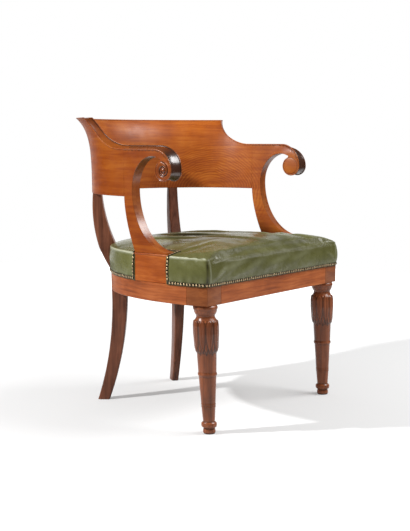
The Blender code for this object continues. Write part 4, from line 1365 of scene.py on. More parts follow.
@dataclass(frozen=True)
class FrontLeg(Part):
    """Turned leg with lotus leaves below its block."""

    plan: SeatPlan
    block: float = 0.058
    bottom: float = 0.330
    rake: float = 0.010
    lean: float = 0.0045
    segments: int = 140
    step: float = 0.0012
    parts: int = 4
    taps: int = 12
    soften: float = 0.0007
    tenon: float = 0.004
    leaves: int = 10
    leaf_top: float = 0.2925
    leaf_tip: float = 0.2085
    leaf_rise: float = 0.0024
    leaf_edge: float = 0.0030
    leaf_crown: float = 0.16
    leaf_taper: float = 0.50
    leaf_half: float = 0.47
    leaf_behind: float = 0.55
    leaf_ground: float = 0.0004
    rib: float = 0.0011
    outline_soil: float = 0.0014
    quirk: float = 0.006
    arris: float = 0.0011
    block_levels: Sequence[tuple[float, float]] = (
        (0.0, 0.0011), (0.0004, 0.0004), (0.0011, 0.0), (0.069, 0.0), (0.07, 0.0008))
    head: Sequence[tuple[float, float]] = (
        (0.0, 0.0285), (0.004, 0.0318), (0.009, 0.0318), (0.012, 0.0300), (0.017, 0.0292),
        (0.022, 0.0268), (0.026, 0.0240), (0.031, 0.0242), (0.036, 0.0270), (0.041, 0.0297),
        (0.052, 0.0309), (0.072, 0.0309), (0.093, 0.0295), (0.117, 0.0282), (0.121, 0.0256))
    shaft: Sequence[tuple[float, float]] = (
        (0.158, 0.0235), (0.156, 0.0250), (0.151, 0.0250), (0.149, 0.0227), (0.078, 0.0187),
        (0.076, 0.0197), (0.074, 0.0186), (0.072, 0.0184), (0.070, 0.0194), (0.068, 0.0182),
        (0.031, 0.0156), (0.028, 0.0200), (0.023, 0.0207), (0.018, 0.0200), (0.015, 0.0152),
        (0.010, 0.0163), (0.004, 0.0168), (0.0, 0.0150))

    def profile(self) -> Pair:
        """Turned profile, from the floor into the block.

        Returns:
            Heights and radii.
        """
        turned = [(self.bottom - drop, radius) for drop, radius in self.head] + list(self.shaft)
        heights, radii = np.array(turned[::-1]).T
        fine = self.step / self.parts
        level = np.arange(0.0, self.bottom, fine)
        plain = np.interp(level, heights, radii)
        weights = np.exp(-0.5 * (np.arange(-self.taps, self.taps + 1) * fine / self.soften) ** 2)
        soft = np.convolve(np.pad(plain, self.taps, mode="edge"), weights / weights.sum(), mode="valid")
        kept = slice(None, None, self.parts)
        return np.append(level[kept], self.bottom + self.tenon), np.append(soft[kept], radii[-1])

    def leaf(self, turn: Array, fall: Array, pitch: Array, tip: float) -> Array:
        """Distance inside a ring of leaves.

        Args:
            turn: Place round the leg, in leaves.
            fall: Place down the leaf, 0 at its top.
            pitch: Width of a leaf's share of the leg.
            tip: Place of the tip.

        Returns:
            Distances from the leaf's outline, positive inside.
        """
        beside = np.abs(np.mod(turn, 1.0) - 0.5)
        rounding = 1.0 - np.clip(fall / self.leaf_crown, 0.0, 1.0)
        crown = np.sqrt(np.clip(1.0 - rounding**2, 0.0, 1.0))
        taper = 1.0 - np.clip((fall - self.leaf_taper) / (tip - self.leaf_taper), 0.0, 1.0) ** 1.7
        width = np.where((fall > 0.0) & (fall < tip), self.leaf_half * crown * taper, -0.2)
        return (width - beside) * pitch

    def carve(self, heights: Array, radii: Array, turn: Array) -> Pair:
        """Put the leaves on the turned profile.

        Args:
            heights: Heights of the profile.
            radii: Radii of the profile.
            turn: Angles round the leg.

        Returns:
            Radii, and dark polish with painted shade along the leaves' outlines, by height and place round
            the leg.
        """
        share = turn[None, :] * self.leaves / FULL_TURN
        fall = ((self.leaf_top - heights) / (self.leaf_top - self.leaf_tip))[:, None] + 0.0 * share
        pitch = (FULL_TURN * radii / self.leaves)[:, None]
        front, behind = self.leaf(share, fall, pitch, 1.0), self.leaf(share + 0.5, fall, pitch, 1.06)
        swell = ease(front / self.leaf_edge)
        groove = bell((np.mod(share, 1.0) - 0.5) * pitch, self.rib) * swell
        raised = self.leaf_rise * swell - self.rib * groove
        raised = np.maximum(raised, self.leaf_behind * self.leaf_rise * ease(behind / self.leaf_edge))
        edge = np.minimum(np.abs(front), np.where(front > 0.0, 1.0, np.abs(behind)))
        # Dark polish and painted shade along the leaves' outlines and in the gaps between them.
        soil = 0.92 * bell(edge, self.outline_soil) * (fall > -0.02) * (fall < 1.08)
        return radii[:, None] + raised - self.leaf_ground, soil

    def turning(self) -> Shape:
        """The right leg's turned part.

        Returns:
            Its closed skin, with dark polish and painted shade in the quirks and along the leaves.
        """
        heights, radii = self.profile()
        turn = np.linspace(0.0, FULL_TURN, self.segments, endpoint=False)
        carved, soil = self.carve(heights, radii, turn)
        # Dark polish and painted shade in the turned quirks, where the profile dips.
        quirk = np.clip((np.roll(radii, 3) + np.roll(radii, -3) - 2.0 * radii) / self.quirk, 0.0, 1.0)
        soil = np.maximum(soil, 0.9 * quirk[:, None])
        share = np.clip((self.bottom - heights) / self.bottom, 0.0, 1.0)[:, None]
        middle = self.plan.front_half - self.block / 2.0
        x = middle - self.lean * share + carved * np.cos(turn)
        y = self.block / 2.0 - self.rake * share + carved * np.sin(turn)
        z = np.repeat(heights[:, None], self.segments, axis=1)
        return Shape.loft(np.stack([x, y, z], axis=2), soil)

    def head_block(self) -> Shape:
        """The right leg's block, whose outer face follows the bowed side.

        Returns:
            Its closed skin.
        """
        inner = self.plan.front_half - self.block
        sections = []
        for height, inset in self.block_levels:
            depth = np.linspace(inset, self.block - inset, 7)
            outer = np.stack([self.plan.half(depth) - inset, depth], axis=1)
            corners = [(inner + inset, inset), *outer, (inner + inset, self.block - inset)]
            sections.append(levelled(rounded(corners, self.arris), self.bottom + height))
        return Shape.loft(np.array(sections))

    def build(self) -> None:
        """Make both front legs, each joined to its block."""
        above = self.bottom - WELD
        for side in Side:
            name = f"front_{side.hand}_leg"
            leg = self.shop.raw(name + "_polished", self.turning().mirrored(side))
            self.shop.combine(leg, [self.shop.raw("block", self.head_block().mirrored(side))], "UNION")
            self.shop.dress(leg, TURNED_WOOD, "mahogany", [name])
            leg.data.materials.append(self.shop.finish(LEG_BLOCK_WOOD))
            for face in leg.data.polygons:
                face.material_index = int(face.center.z > above)
            for point, soil in zip(leg.data.vertices, leg.data.attributes["soil"].data):
                if point.co.z > above:
                    soil.value = 0.0


@dataclass(frozen=True)
class RearLeg(Part):
    """Sabre leg and stile in one piece."""

    plan: SeatPlan
    back: Horseshoe
    angle: float = math.radians(34.8)
    heights: Sequence[float] = (0.0, 0.300, 0.440, 0.595)
    depths: Sequence[float] = (0.033, 0.043, 0.050, 0.024)
    widths: Sequence[float] = (0.020, 0.032, 0.032, 0.027)
    proud: float = 0.007
    foot: float = 0.280
    waist: tuple[float, float] = (0.300, 0.375)
    power: float = 2.1
    corner: float = 0.0042
    sole_edge: float = 0.001
    stations: int = 84

    @property
    def radial(self) -> Array:
        """Level direction outwards, for the right leg."""
        return np.array([math.sin(self.angle), math.cos(self.angle)])

    @property
    def tangent(self) -> Array:
        """Level direction towards the right side rail."""
        return np.array([math.cos(self.angle), -math.sin(self.angle)])

    def middle(self, height: float) -> float:
        """Distance of the leg's middle from the horseshoe's axis.

        Args:
            height: Height above the floor.

        Returns:
            The distance.
        """
        narrow = self.plan.reach(self.angle, self.back.centre) + self.proud - self.depths[1] / 2.0
        low, high = self.waist
        if height < low:
            return narrow + (self.foot - narrow) * (1.0 - height / low) ** self.power
        rise = max(height - high, 0.0) / (self.back.bottom - high)
        top = self.back.radius - self.depths[-1] / 2.0
        return narrow + (top - narrow) * (1.0 - max(1.0 - rise, 0.0) ** self.power)

    def section(self, height: float, grow: float) -> Array:
        """Level section of the right leg.

        Args:
            height: Height above the floor.
            grow: How much it is grown on all sides.

        Returns:
            Its outline.
        """
        depth = np.interp(height, self.heights, self.depths) / 2.0 + grow
        width = np.interp(height, self.heights, self.widths) / 2.0 + grow
        middle = np.array([0.0, self.back.centre]) + self.radial * self.middle(height)
        signs = ((-1, -1), (1, -1), (1, 1), (-1, 1))
        corners = [middle + self.radial * (a * depth) + self.tangent * (b * width) for a, b in signs]
        return levelled(rounded(corners, self.corner + max(grow, 0.0), 4), height)

    def shape(self, grow: float = 0.0) -> Shape:
        """Skin of the right leg.

        Args:
            grow: How much it is grown on all sides.

        Returns:
            The closed skin, with an eased sole.
        """
        sections = [self.section(0.0, grow - self.sole_edge)]
        for height in np.linspace(self.sole_edge, self.back.bottom, self.stations):
            sections.append(self.section(height, grow))
        return Shape.loft(np.array(sections))

    def build(self) -> None:
        """Make both rear legs."""
        self.shop.pair("rear_{}_leg", self.shape(), STILE_WOOD, "dark_mahogany")


@dataclass(frozen=True)
class ArmBlock(Part):
    """Block between the seat frame and an arm's foot, with a bead round its top."""

    arm: Arm
    foot: float = 0.3783
    top: float = 0.452
    arris: float = 0.0006
    proud: float = 0.0015
    bead: Sequence[tuple[float, float]] = (
        (0.0054, 0.0), (0.0050, 0.0004), (0.0044, 0.0010), (0.0036, 0.0014), (0.0026, 0.0015),
        (0.0016, 0.0014), (0.0007, 0.0010), (0.0001, 0.0003), (0.0, -0.0004))

    def outline(self, proud: float, outer: float, inner: float, corner: float = 0.001) -> Array:
        """Plan of the right block.

        Args:
            proud: How much it is grown at its ends.
            outer: How much it is grown outside.
            inner: How much it is grown inside.
            corner: Rounding of its corners.

        Returns:
            The plan's points.
        """
        thick = self.arm.back.arm_thick
        front, rear = self.arm.foot_front - proud, self.arm.foot_rear + proud
        depth = np.array([front, rear, rear, front])
        inset = np.array([-outer, -outer, thick + inner, thick + inner])
        return rounded(self.arm.point(depth, inset), corner)

    def shape(self) -> Shape:
        """Skin of the right block.

        Returns:
            The closed skin.
        """
        e = self.arris
        sections = [levelled(self.outline(-e, -e, -e), self.foot),
                    levelled(self.outline(0.0, 0.0, 0.0), self.foot + e)]
        for drop, proud in self.bead:
            sections.append(levelled(self.outline(proud, proud, min(proud, 0.0)), self.top - drop))
        return Shape.loft(np.array(sections))

    def build(self) -> None:
        """Make both blocks."""
        self.shop.pair("{}_arm_block", self.shape(), ARM_WOOD)


@dataclass(frozen=True)
class SeatFrame(Part):
    """Front, side and rear rails."""

    plan: SeatPlan
    leg: FrontLeg
    stile: RearLeg
    block: ArmBlock
    thick: float = 0.028
    bottom: float = 0.330
    top: float = 0.400
    edge: float = 0.0009
    clearance: float = 0.0003
    notch: float = 0.378
    notch_gap: float = 0.0005
    past: float = 0.01
    screw_hole: float = 0.0048
    screw_cover: float = 0.003

    def section(self) -> Array:
        """Section of a rail, with eased edges.

        Returns:
            Points of (inset, height).
        """
        low, high, e = self.bottom, self.top, self.edge
        back = self.thick - e
        rise = np.linspace(low + e, high - e, 5)
        outer = [(0.0, z) for z in rise]
        inner = [(self.thick, z) for z in rise[::-1]]
        return np.array([(e, low), *outer, (e, high), (back, high), *inner, (back, low)])

    def strip(self, points: Array, normals: Array) -> Shape:
        """Rail along stations of the plan.

        Args:
            points: Stations on the rail's outer face.
            normals: Directions out of it.

        Returns:
            The rail's skin, with its map along the rail.
        """
        section = self.section()
        level = points[:, None] - normals[:, None] * section[None, :, :1]
        height = np.repeat(section[None, :, 1:], len(points), axis=0)
        across = np.tile(section[:, 1] + section[:, 0], (len(points), 1))
        run = np.repeat(run_length(points)[:, None], len(section), axis=1)
        return Shape.loft(np.concatenate([level, height], axis=2), surface=np.stack([run, across], axis=2))

    def saw(self, obj: Object, point: Sequence[float], normal: Sequence[float]) -> None:
        """Saw off what lies beyond a level line.

        Args:
            obj: The rail.
            point: A point on the line.
            normal: Direction of what is sawn off.
        """
        saw = bmesh.new()
        saw.from_mesh(obj.data)
        geometry = saw.verts[:] + saw.edges[:] + saw.faces[:]
        spot = (point[0], point[1] + self.shop.front, 0.0)
        found = bmesh.ops.bisect_plane(saw, geom=geometry, plane_co=spot, plane_no=(*normal, 0.0),
                                       clear_outer=True)
        rim = [item for item in found["geom_cut"] if isinstance(item, bmesh.types.BMEdge)]
        bmesh.ops.contextual_create(saw, geom=rim)
        bmesh.ops.recalc_face_normals(saw, faces=saw.faces)
        saw.to_mesh(obj.data)
        saw.free()

    def screw_holes(self, side: Side) -> list[Object]:
        """Tools for the holes below the arm block's screws.

        Args:
            side: Side of the chair.

        Returns:
            One tool for each screw.
        """
        turn = np.linspace(0.0, FULL_TURN, 24, endpoint=False)
        ring = np.stack([np.cos(turn), np.sin(turn)], axis=1) * self.screw_hole
        tools = []
        for number in (1, 2):
            low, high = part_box(f"{side.hand}_arm_block_screw_{number}")
            middle = np.array([(low[0] + high[0]) / 2.0, (low[1] + high[1]) / 2.0 - self.shop.front])
            hole = Shape.prism(ring + middle, self.bottom - self.past, low[2] + self.screw_cover)
            tools.append(self.shop.raw("screw_hole", hole))
        return tools

    def build(self) -> None:
        """Make the four rails."""
        half = self.plan.front_half - self.leg.block - self.clearance
        across = np.linspace(half, -half, 25)
        points = np.stack([across, 0.0 * across], axis=1)
        self.shop.make("front_rail", self.strip(points, np.tile((0.0, -1.0), (len(points), 1))), RAIL_WOOD)
        points, normals = self.plan.right()
        face, way = np.array([0.0, self.stile.back.centre]), self.stile.tangent
        gap = self.stile.widths[1] / 2.0 + self.clearance
        slot = self.block.outline(self.notch_gap, self.thick, self.thick, 0.0001)
        for side in Side:
            name, flip = f"{side.hand}_side_rail", np.array([side.value, 1.0])
            rail = self.shop.raw(name + "_polished", self.strip(points, normals).mirrored(side))
            self.saw(rail, (0.0, self.leg.block + self.clearance), (0.0, -1.0))
            self.saw(rail, (face + way * gap) * flip, -way * flip)
            notch = Shape.prism(slot, self.notch, self.top + self.past).mirrored(side)
            self.shop.combine(rail, [self.shop.raw("notch", notch), *self.screw_holes(side)], "DIFFERENCE")
            self.shop.dress(rail, RAIL_WOOD, "mahogany", [name])
        behind = points[:, 1] > self.stile.back.centre
        halves = (points[behind], normals[behind])
        whole = [np.concatenate([half, half[-2::-1] * MIRROR]) for half in halves]
        rail = self.shop.raw("rear_rail_polished", self.strip(*whole))
        for flip in (np.ones(2), MIRROR):
            self.saw(rail, (face - way * gap) * flip, way * flip)
        self.shop.dress(rail, RAIL_WOOD, "mahogany", ["rear_rail"])


# Seat

@dataclass(frozen=True)
class Fold:
    """A ridge in the leather with a dip beside it, between two points on its face."""

    start: tuple[float, float]
    end: tuple[float, float]
    width: float
    height: float
    bend: float = 0.0
    dip: float = 0.6
    # Strength of the painted shade beside the fold.
    crease: float = 0.0
    fade: float = 0.45
    valley: float = 1.7

    def laid(self, across: Array, along: Array) -> Pair:
        """Where places lie on the fold.

        Args:
            across: First coordinate of the places.
            along: Second coordinate.

        Returns:
            Distances from the fold's line in its own widths, and how strong it is there.
        """
        way = np.subtract(self.end, self.start)
        length = np.linalg.norm(way)
        way = way / length
        across, along = across - self.start[0], along - self.start[1]
        share = (across * way[0] + along * way[1]) / length
        beside = along * way[0] - across * way[1] - self.bend * 4.0 * share * (1.0 - share)
        return beside / self.width, ease(share / self.fade) * ease((1.0 - share) / self.fade)

    def shade(self, across: Array, along: Array) -> Array:
        """Painted shade on the side of the fold that goes down into its dip."""
        beside, strong = self.laid(across, along)
        return self.crease * strong * bell(beside + 1.0, 0.8)

    def lift(self, across: Array, along: Array) -> Array:
        """Height of the fold at places on its face, 0 far from it."""
        beside, strong = self.laid(across, along)
        return self.height * strong * (bell(beside) - self.dip * bell(beside + self.valley))


@dataclass(frozen=True)
class Seat(Part):
    """Stuffed seat: leather drawn over the crown and down the rails, cut round arm blocks and stiles."""

    plan: SeatPlan
    arm: Arm
    block: ArmBlock
    stile: RearLeg
    hem: float = 0.3783
    hem_drop: float = 0.010
    hem_rise: float = 0.004
    edge: float = 0.446
    round: float = 0.006
    front_round: float = 0.013
    front_depth: float = 0.050
    crown: float = 0.024
    crown_power: float = 3.2
    gap: float = 0.0004
    leather: float = 0.0026
    bulge: float = 0.0030
    slack: float = 0.0009
    floor: float = 0.4055
    below: float = 0.30
    stile_reach: float = 0.208
    voxel: float = 0.0055
    pressure: float = 4.0
    stiffness: float = 22.0
    frames: int = 20
    held_hem: float = 0.008
    held_wood: float = 0.010
    cap: float = 0.007
    side_share: float = 0.25
    side_drop: float = 0.012
    side_fade: float = 0.016
    middle: float = 0.245
    pucker: float = 0.0007
    pucker_length: float = 0.034
    ridge: float = 0.0020
    slit: float = 0.0016
    slit_wide: float = 0.0030
    slit_top: float = 0.4500
    wave: float = 0.0018
    wave_density: float = 9.0
    # Painted highlights on fold crests, partly wear, and on the corners' edges; the front is also made paler
    # towards its bottom.
    fold_rub: float = 0.28
    arris_rub: float = 0.40
    low_rub: float = 0.08
    low_level: float = 0.425
    # Painted shade on the top and on the front, more near the front's top.
    top_soil: float = 0.34
    front_soil: float = 0.32
    upper_soil: float = 0.16
    upper_level: float = 0.415
    level_fade: float = 0.03
    rub_clears: float = 0.3
    # Band round the nails made dark, partly dirt and partly painted shade.
    hem_band: float = 0.0104
    wood_band: float = 0.0108
    band_fade: float = 0.002
    band_past: float = 0.03
    top_folds: Sequence[Fold] = ()
    front_folds: Sequence[Fold] = ()

    @property
    def offset(self) -> float:
        """How far the leather's outside stands in front of the rails."""
        return self.gap + self.leather

    def pad(self) -> Shape:
        """Pad from below the hem to the crown, rounder along its front edge.

        Returns:
            The closed skin.
        """
        probe = 0.02
        outer = self.plan.ring(self.offset)
        inward = (self.plan.ring(self.offset - probe) - outer) / probe
        forward = ease((self.front_depth - outer[:, 1]) / self.front_depth)
        round_off = self.round + (self.front_round - self.round) * forward
        brim = self.edge + self.round
        start = self.hem + self.hem_rise
        sections = [levelled(outer, z) for z in np.linspace(self.hem - self.hem_drop, start, 4)]
        for share in np.linspace(0.0, 1.0, 10)[1:]:
            swell = self.bulge * math.sin(math.pi * share)
            sections.append(levelled(outer - inward * swell, start + (brim - round_off - start) * share))
        for turn in np.linspace(0.0, math.pi / 2.0, 8)[1:]:
            inset = round_off * (1.0 - math.cos(turn))
            height = brim - round_off * (1.0 - math.sin(turn))
            sections.append(levelled(outer + inward * inset[:, None], height))
        rim, centre = sections[-1], np.array([0.0, self.middle])
        for share in np.linspace(1.0, 0.02, 30)[1:]:
            rise = self.crown * (1.0 - share**self.crown_power)
            sections.append(levelled(centre + (rim[:, :2] - centre) * share, rim[:, 2] + rise))
        return Shape.loft(np.array(sections))

    def slots(self) -> Shape:
        """Room round the right arm block and the support's foot.

        Returns:
            The room's closed skin.
        """
        top = self.edge + 2.0 * self.crown
        plain = self.block.outline(self.block.proud + self.slack, 0.03, self.slack)
        leaned = plain.copy()
        behind = plain[:, 1] > (self.arm.foot_front + self.arm.foot_rear) / 2.0
        leaned[behind, 1] += self.arm.rear(np.array(top)) - self.arm.foot_rear
        levels = ((plain, self.below), (plain, self.block.top), (leaned, top))
        return Shape.loft(np.array([levelled(outline, z) for outline, z in levels]))

    def near_wood(self, points: Array, margin: float) -> Array:
        """Which points lie close to an arm block or a stile.

        Args:
            points: Places on the seat, in the chair's measure.
            margin: How close.

        Returns:
            A truth value for each.
        """
        x, y = np.abs(points[:, 0]), points[:, 1]
        inner = self.arm.point(y, np.full_like(y, self.arm.back.arm_thick + margin))[:, 0]
        by_arm = (y > self.arm.foot_front - margin) & (y < self.arm.foot_rear + margin) & (x > inner)
        level = np.stack([x, y - self.arm.back.centre], axis=1)
        radial, tangent = level @ self.stile.radial, level @ self.stile.tangent
        beside = np.abs(tangent) < self.stile.widths[1] / 2.0 + margin
        return by_arm | (beside & (radial > self.stile_reach - margin))

    def vectors(self, obj: Object, key: str) -> Array:
        """A value of an object's points.

        Args:
            obj: The object.
            key: Name of the value, for places or for directions.

        Returns:
            One row for each point.
        """
        flat = np.empty(3 * len(obj.data.vertices), np.float32)
        obj.data.vertices.foreach_get(key, flat)
        return flat.reshape(-1, 3).astype(float)

    def place(self, obj: Object, points: Array) -> None:
        """Put an object's points at new places."""
        obj.data.vertices.foreach_set("co", points.astype(np.float32).ravel())
        obj.data.update()

    def swell(self, pad: Object) -> None:
        """Blow the pad up inside its leather with a cloth simulation, held where it is nailed.

        Args:
            pad: The remeshed pad.
        """
        start = self.vectors(pad, "co")
        rest = start - self.shop.shift
        held = (rest[:, 2] < self.hem + self.held_hem) | self.near_wood(rest, self.held_wood)
        group = pad.vertex_groups.new(name="held")
        group.add(np.flatnonzero(held).tolist(), 1.0, "REPLACE")
        cloth = pad.modifiers.new("cloth", "CLOTH")
        cloth.settings.quality = 6
        cloth.settings.mass = 0.4
        cloth.settings.tension_stiffness = self.stiffness
        cloth.settings.compression_stiffness = self.stiffness
        cloth.settings.bending_stiffness = 4.0
        cloth.settings.use_pressure = True
        cloth.settings.uniform_pressure_force = self.pressure
        cloth.settings.vertex_group_mass = "held"
        cloth.settings.effector_weights.gravity = 0.0
        cloth.collision_settings.use_collision = False
        scene = bpy.context.scene
        for frame in range(1, self.frames + 1):
            scene.frame_set(frame)
        self.shop.apply(pad)
        scene.frame_set(1)
        moved = self.vectors(pad, "co") - start
        far = np.linalg.norm(moved, axis=1, keepdims=True)
        log.info("cloth moved the seat by up to %.1f mm", far.max() / MILLIMETRE)
        moved *= np.minimum(1.0, self.cap / np.maximum(far, 1e-9))
        upper = ease((rest[:, 2] - self.edge + self.side_drop) / self.side_fade)
        moved *= (self.side_share + (1.0 - self.side_share) * upper)[:, None]
        self.place(pad, start + moved)
        pad.vertex_groups.clear()

    def facing(self, normals: Array) -> Pair:
        """How far places face up and how far they face the front, from 0 to 1."""
        return ease((normals[:, 2] - 0.45) / 0.4), ease((-normals[:, 1] - 0.5) / 0.4)

    def relief(self, points: Array, normals: Array) -> Array:
        """Folds and dips of the leather.

        Args:
            points: Places on the seat, in the chair's measure.
            normals: Directions out of it.

        Returns:
            Heights along the normals.
        """
        x, y, z = points.T
        top, front = self.facing(normals)
        lift = np.zeros(len(points))
        for folds, weight, along in ((self.top_folds, top, y), (self.front_folds, front, z)):
            for fold in folds:
                lift += weight * fold.lift(x, along)
        spots = (Vector((a * self.wave_density, b * self.wave_density, 3.0)) for a, b in zip(x, y))
        slow = np.array([noise.fractal(spot, 1.0, 2.0, 3) for spot in spots])
        lift += top * self.wave * slow
        drawn = bell(z - self.hem - 0.012, 0.014) * (1.0 - top)
        lift += self.pucker * drawn * np.sin((x - y) * FULL_TURN / self.pucker_length + 3.0 * slow)
        ridge = bell(z - self.edge - 0.001, 0.0030) * (1.0 - top) * (y > 0.0)
        return lift + self.ridge * ridge

    def wear(self, points: Array, normals: Array, lift: Array) -> Pair:
        """Where the leather is painted paler, as wear and as painted highlights, and where it is painted
        darker, as dirt and as painted shade.

        Args:
            points: Places on the seat, in the chair's measure.
            normals: Directions out of it.
            lift: Heights of its folds there.

        Returns:
            Rubbing with painted highlights, and dirt with painted shade, from 0 to 1.
        """
        x, y, z = points.T
        top, front = self.facing(normals)
        # Painted highlight along the side's top edge and beside the corner slits; fold crests paler, partly
        # wear and partly painted glint.
        rim = bell(z - self.edge - 0.0030, 0.0032) * ease((np.abs(normals[:, 0]) - 0.45) / 0.25)
        corner = self.plan.front_half + self.offset
        arris = bell(np.abs(x) - corner + 0.0105, 0.0028) * front
        rub = np.maximum(np.clip(lift / 0.0080, 0.0, self.fold_rub), np.maximum(rim, self.arris_rub * arris))
        rub = np.maximum(rub, self.low_rub * front * ease((self.low_level - z) / self.level_fade))
        # Painted shade by facing: the top and the front darker, the front more near its top; rubbing clears
        # some of it.
        upper = self.upper_soil * ease((z - self.upper_level) / self.level_fade)
        soil = self.top_soil * top + front * (self.front_soil + upper) - self.rub_clears * rub
        for folds, weight, along in ((self.top_folds, top, y), (self.front_folds, front, z)):
            for fold in folds:
                soil = np.maximum(soil, weight * fold.shade(x, along))
        return rub, soil

    def pleat(self, points: Array) -> Array:
        """How near points are to the slits down the front corners.

        Args:
            points: Places on the seat, in the chair's measure.

        Returns:
            Nearness, from 0 to 1.
        """
        x, y, z = points.T
        corner = self.plan.front_half + self.offset - MILLIMETRE
        away = np.hypot(np.abs(x) - corner, y + self.offset - MILLIMETRE)
        wide = self.slit_wide * (1.0 + ease((z - self.slit_top + 0.02) / 0.02))
        return bell(away, wide) * ease((self.slit_top - z) / 0.006)

    def weather(self, pad: Object) -> None:
        """Lay the folds into the pad and keep its wear, its painted highlights, and its dirt and painted
        shade on its points.

        Args:
            pad: The swollen pad.
        """
        places, normals = self.vectors(pad, "co"), self.vectors(pad, "normal")
        points = places - self.shop.shift
        lift, slit = self.relief(points, normals), self.pleat(points)
        self.place(pad, places + normals * (lift - self.slit * slit)[:, None])
        # Dark band round the nails, partly dirt and partly painted shade, and painted shade in the corner
        # slits.
        hem = ease((self.hem + self.hem_band - points[:, 2]) / self.band_fade)
        forward = points[:, 1] < self.arm.foot_rear + self.band_past
        hem = np.maximum(hem, np.where(self.near_wood(points, self.wood_band) & forward, 1.0, 0.0))
        rub, soil = self.wear(points, normals, lift)
        store(pad.data, "rub", np.clip(rub * (1.0 - hem) * (1.0 - slit), 0.0, 1.0))
        store(pad.data, "soil", np.clip(np.maximum(np.maximum(slit, hem), soil), 0.0, 1.0))

    def build(self) -> Object:
        """Make the seat.

        Returns:
            The seat.
        """
        pad = self.shop.raw("seat_leather", self.pad())
        remesh = pad.modifiers.new("remesh", "REMESH")
        remesh.mode = "VOXEL"
        remesh.voxel_size = self.voxel
        self.shop.apply(pad)
        self.swell(pad)
        finer = pad.modifiers.new("finer", "SUBSURF")
        finer.levels = finer.render_levels = 1
        self.shop.apply(pad)
        self.weather(pad)
        tools = []
        for name, offset, high in (("core", self.gap, self.floor), ("under", 0.05, self.hem)):
            tools.append(self.shop.raw(name, Shape.prism(self.plan.ring(offset), self.below, high)))
        for side in Side:
            tools.append(self.shop.raw("slot", self.slots().mirrored(side)))
            tools.append(self.shop.raw("stile", self.stile.shape(self.slack).mirrored(side)))
        self.shop.combine(pad, tools, "DIFFERENCE")
        self.shop.dress(pad, SEAT_HIDE, "leather", ["seat_cover", "seat_stuffing"])
        return pad


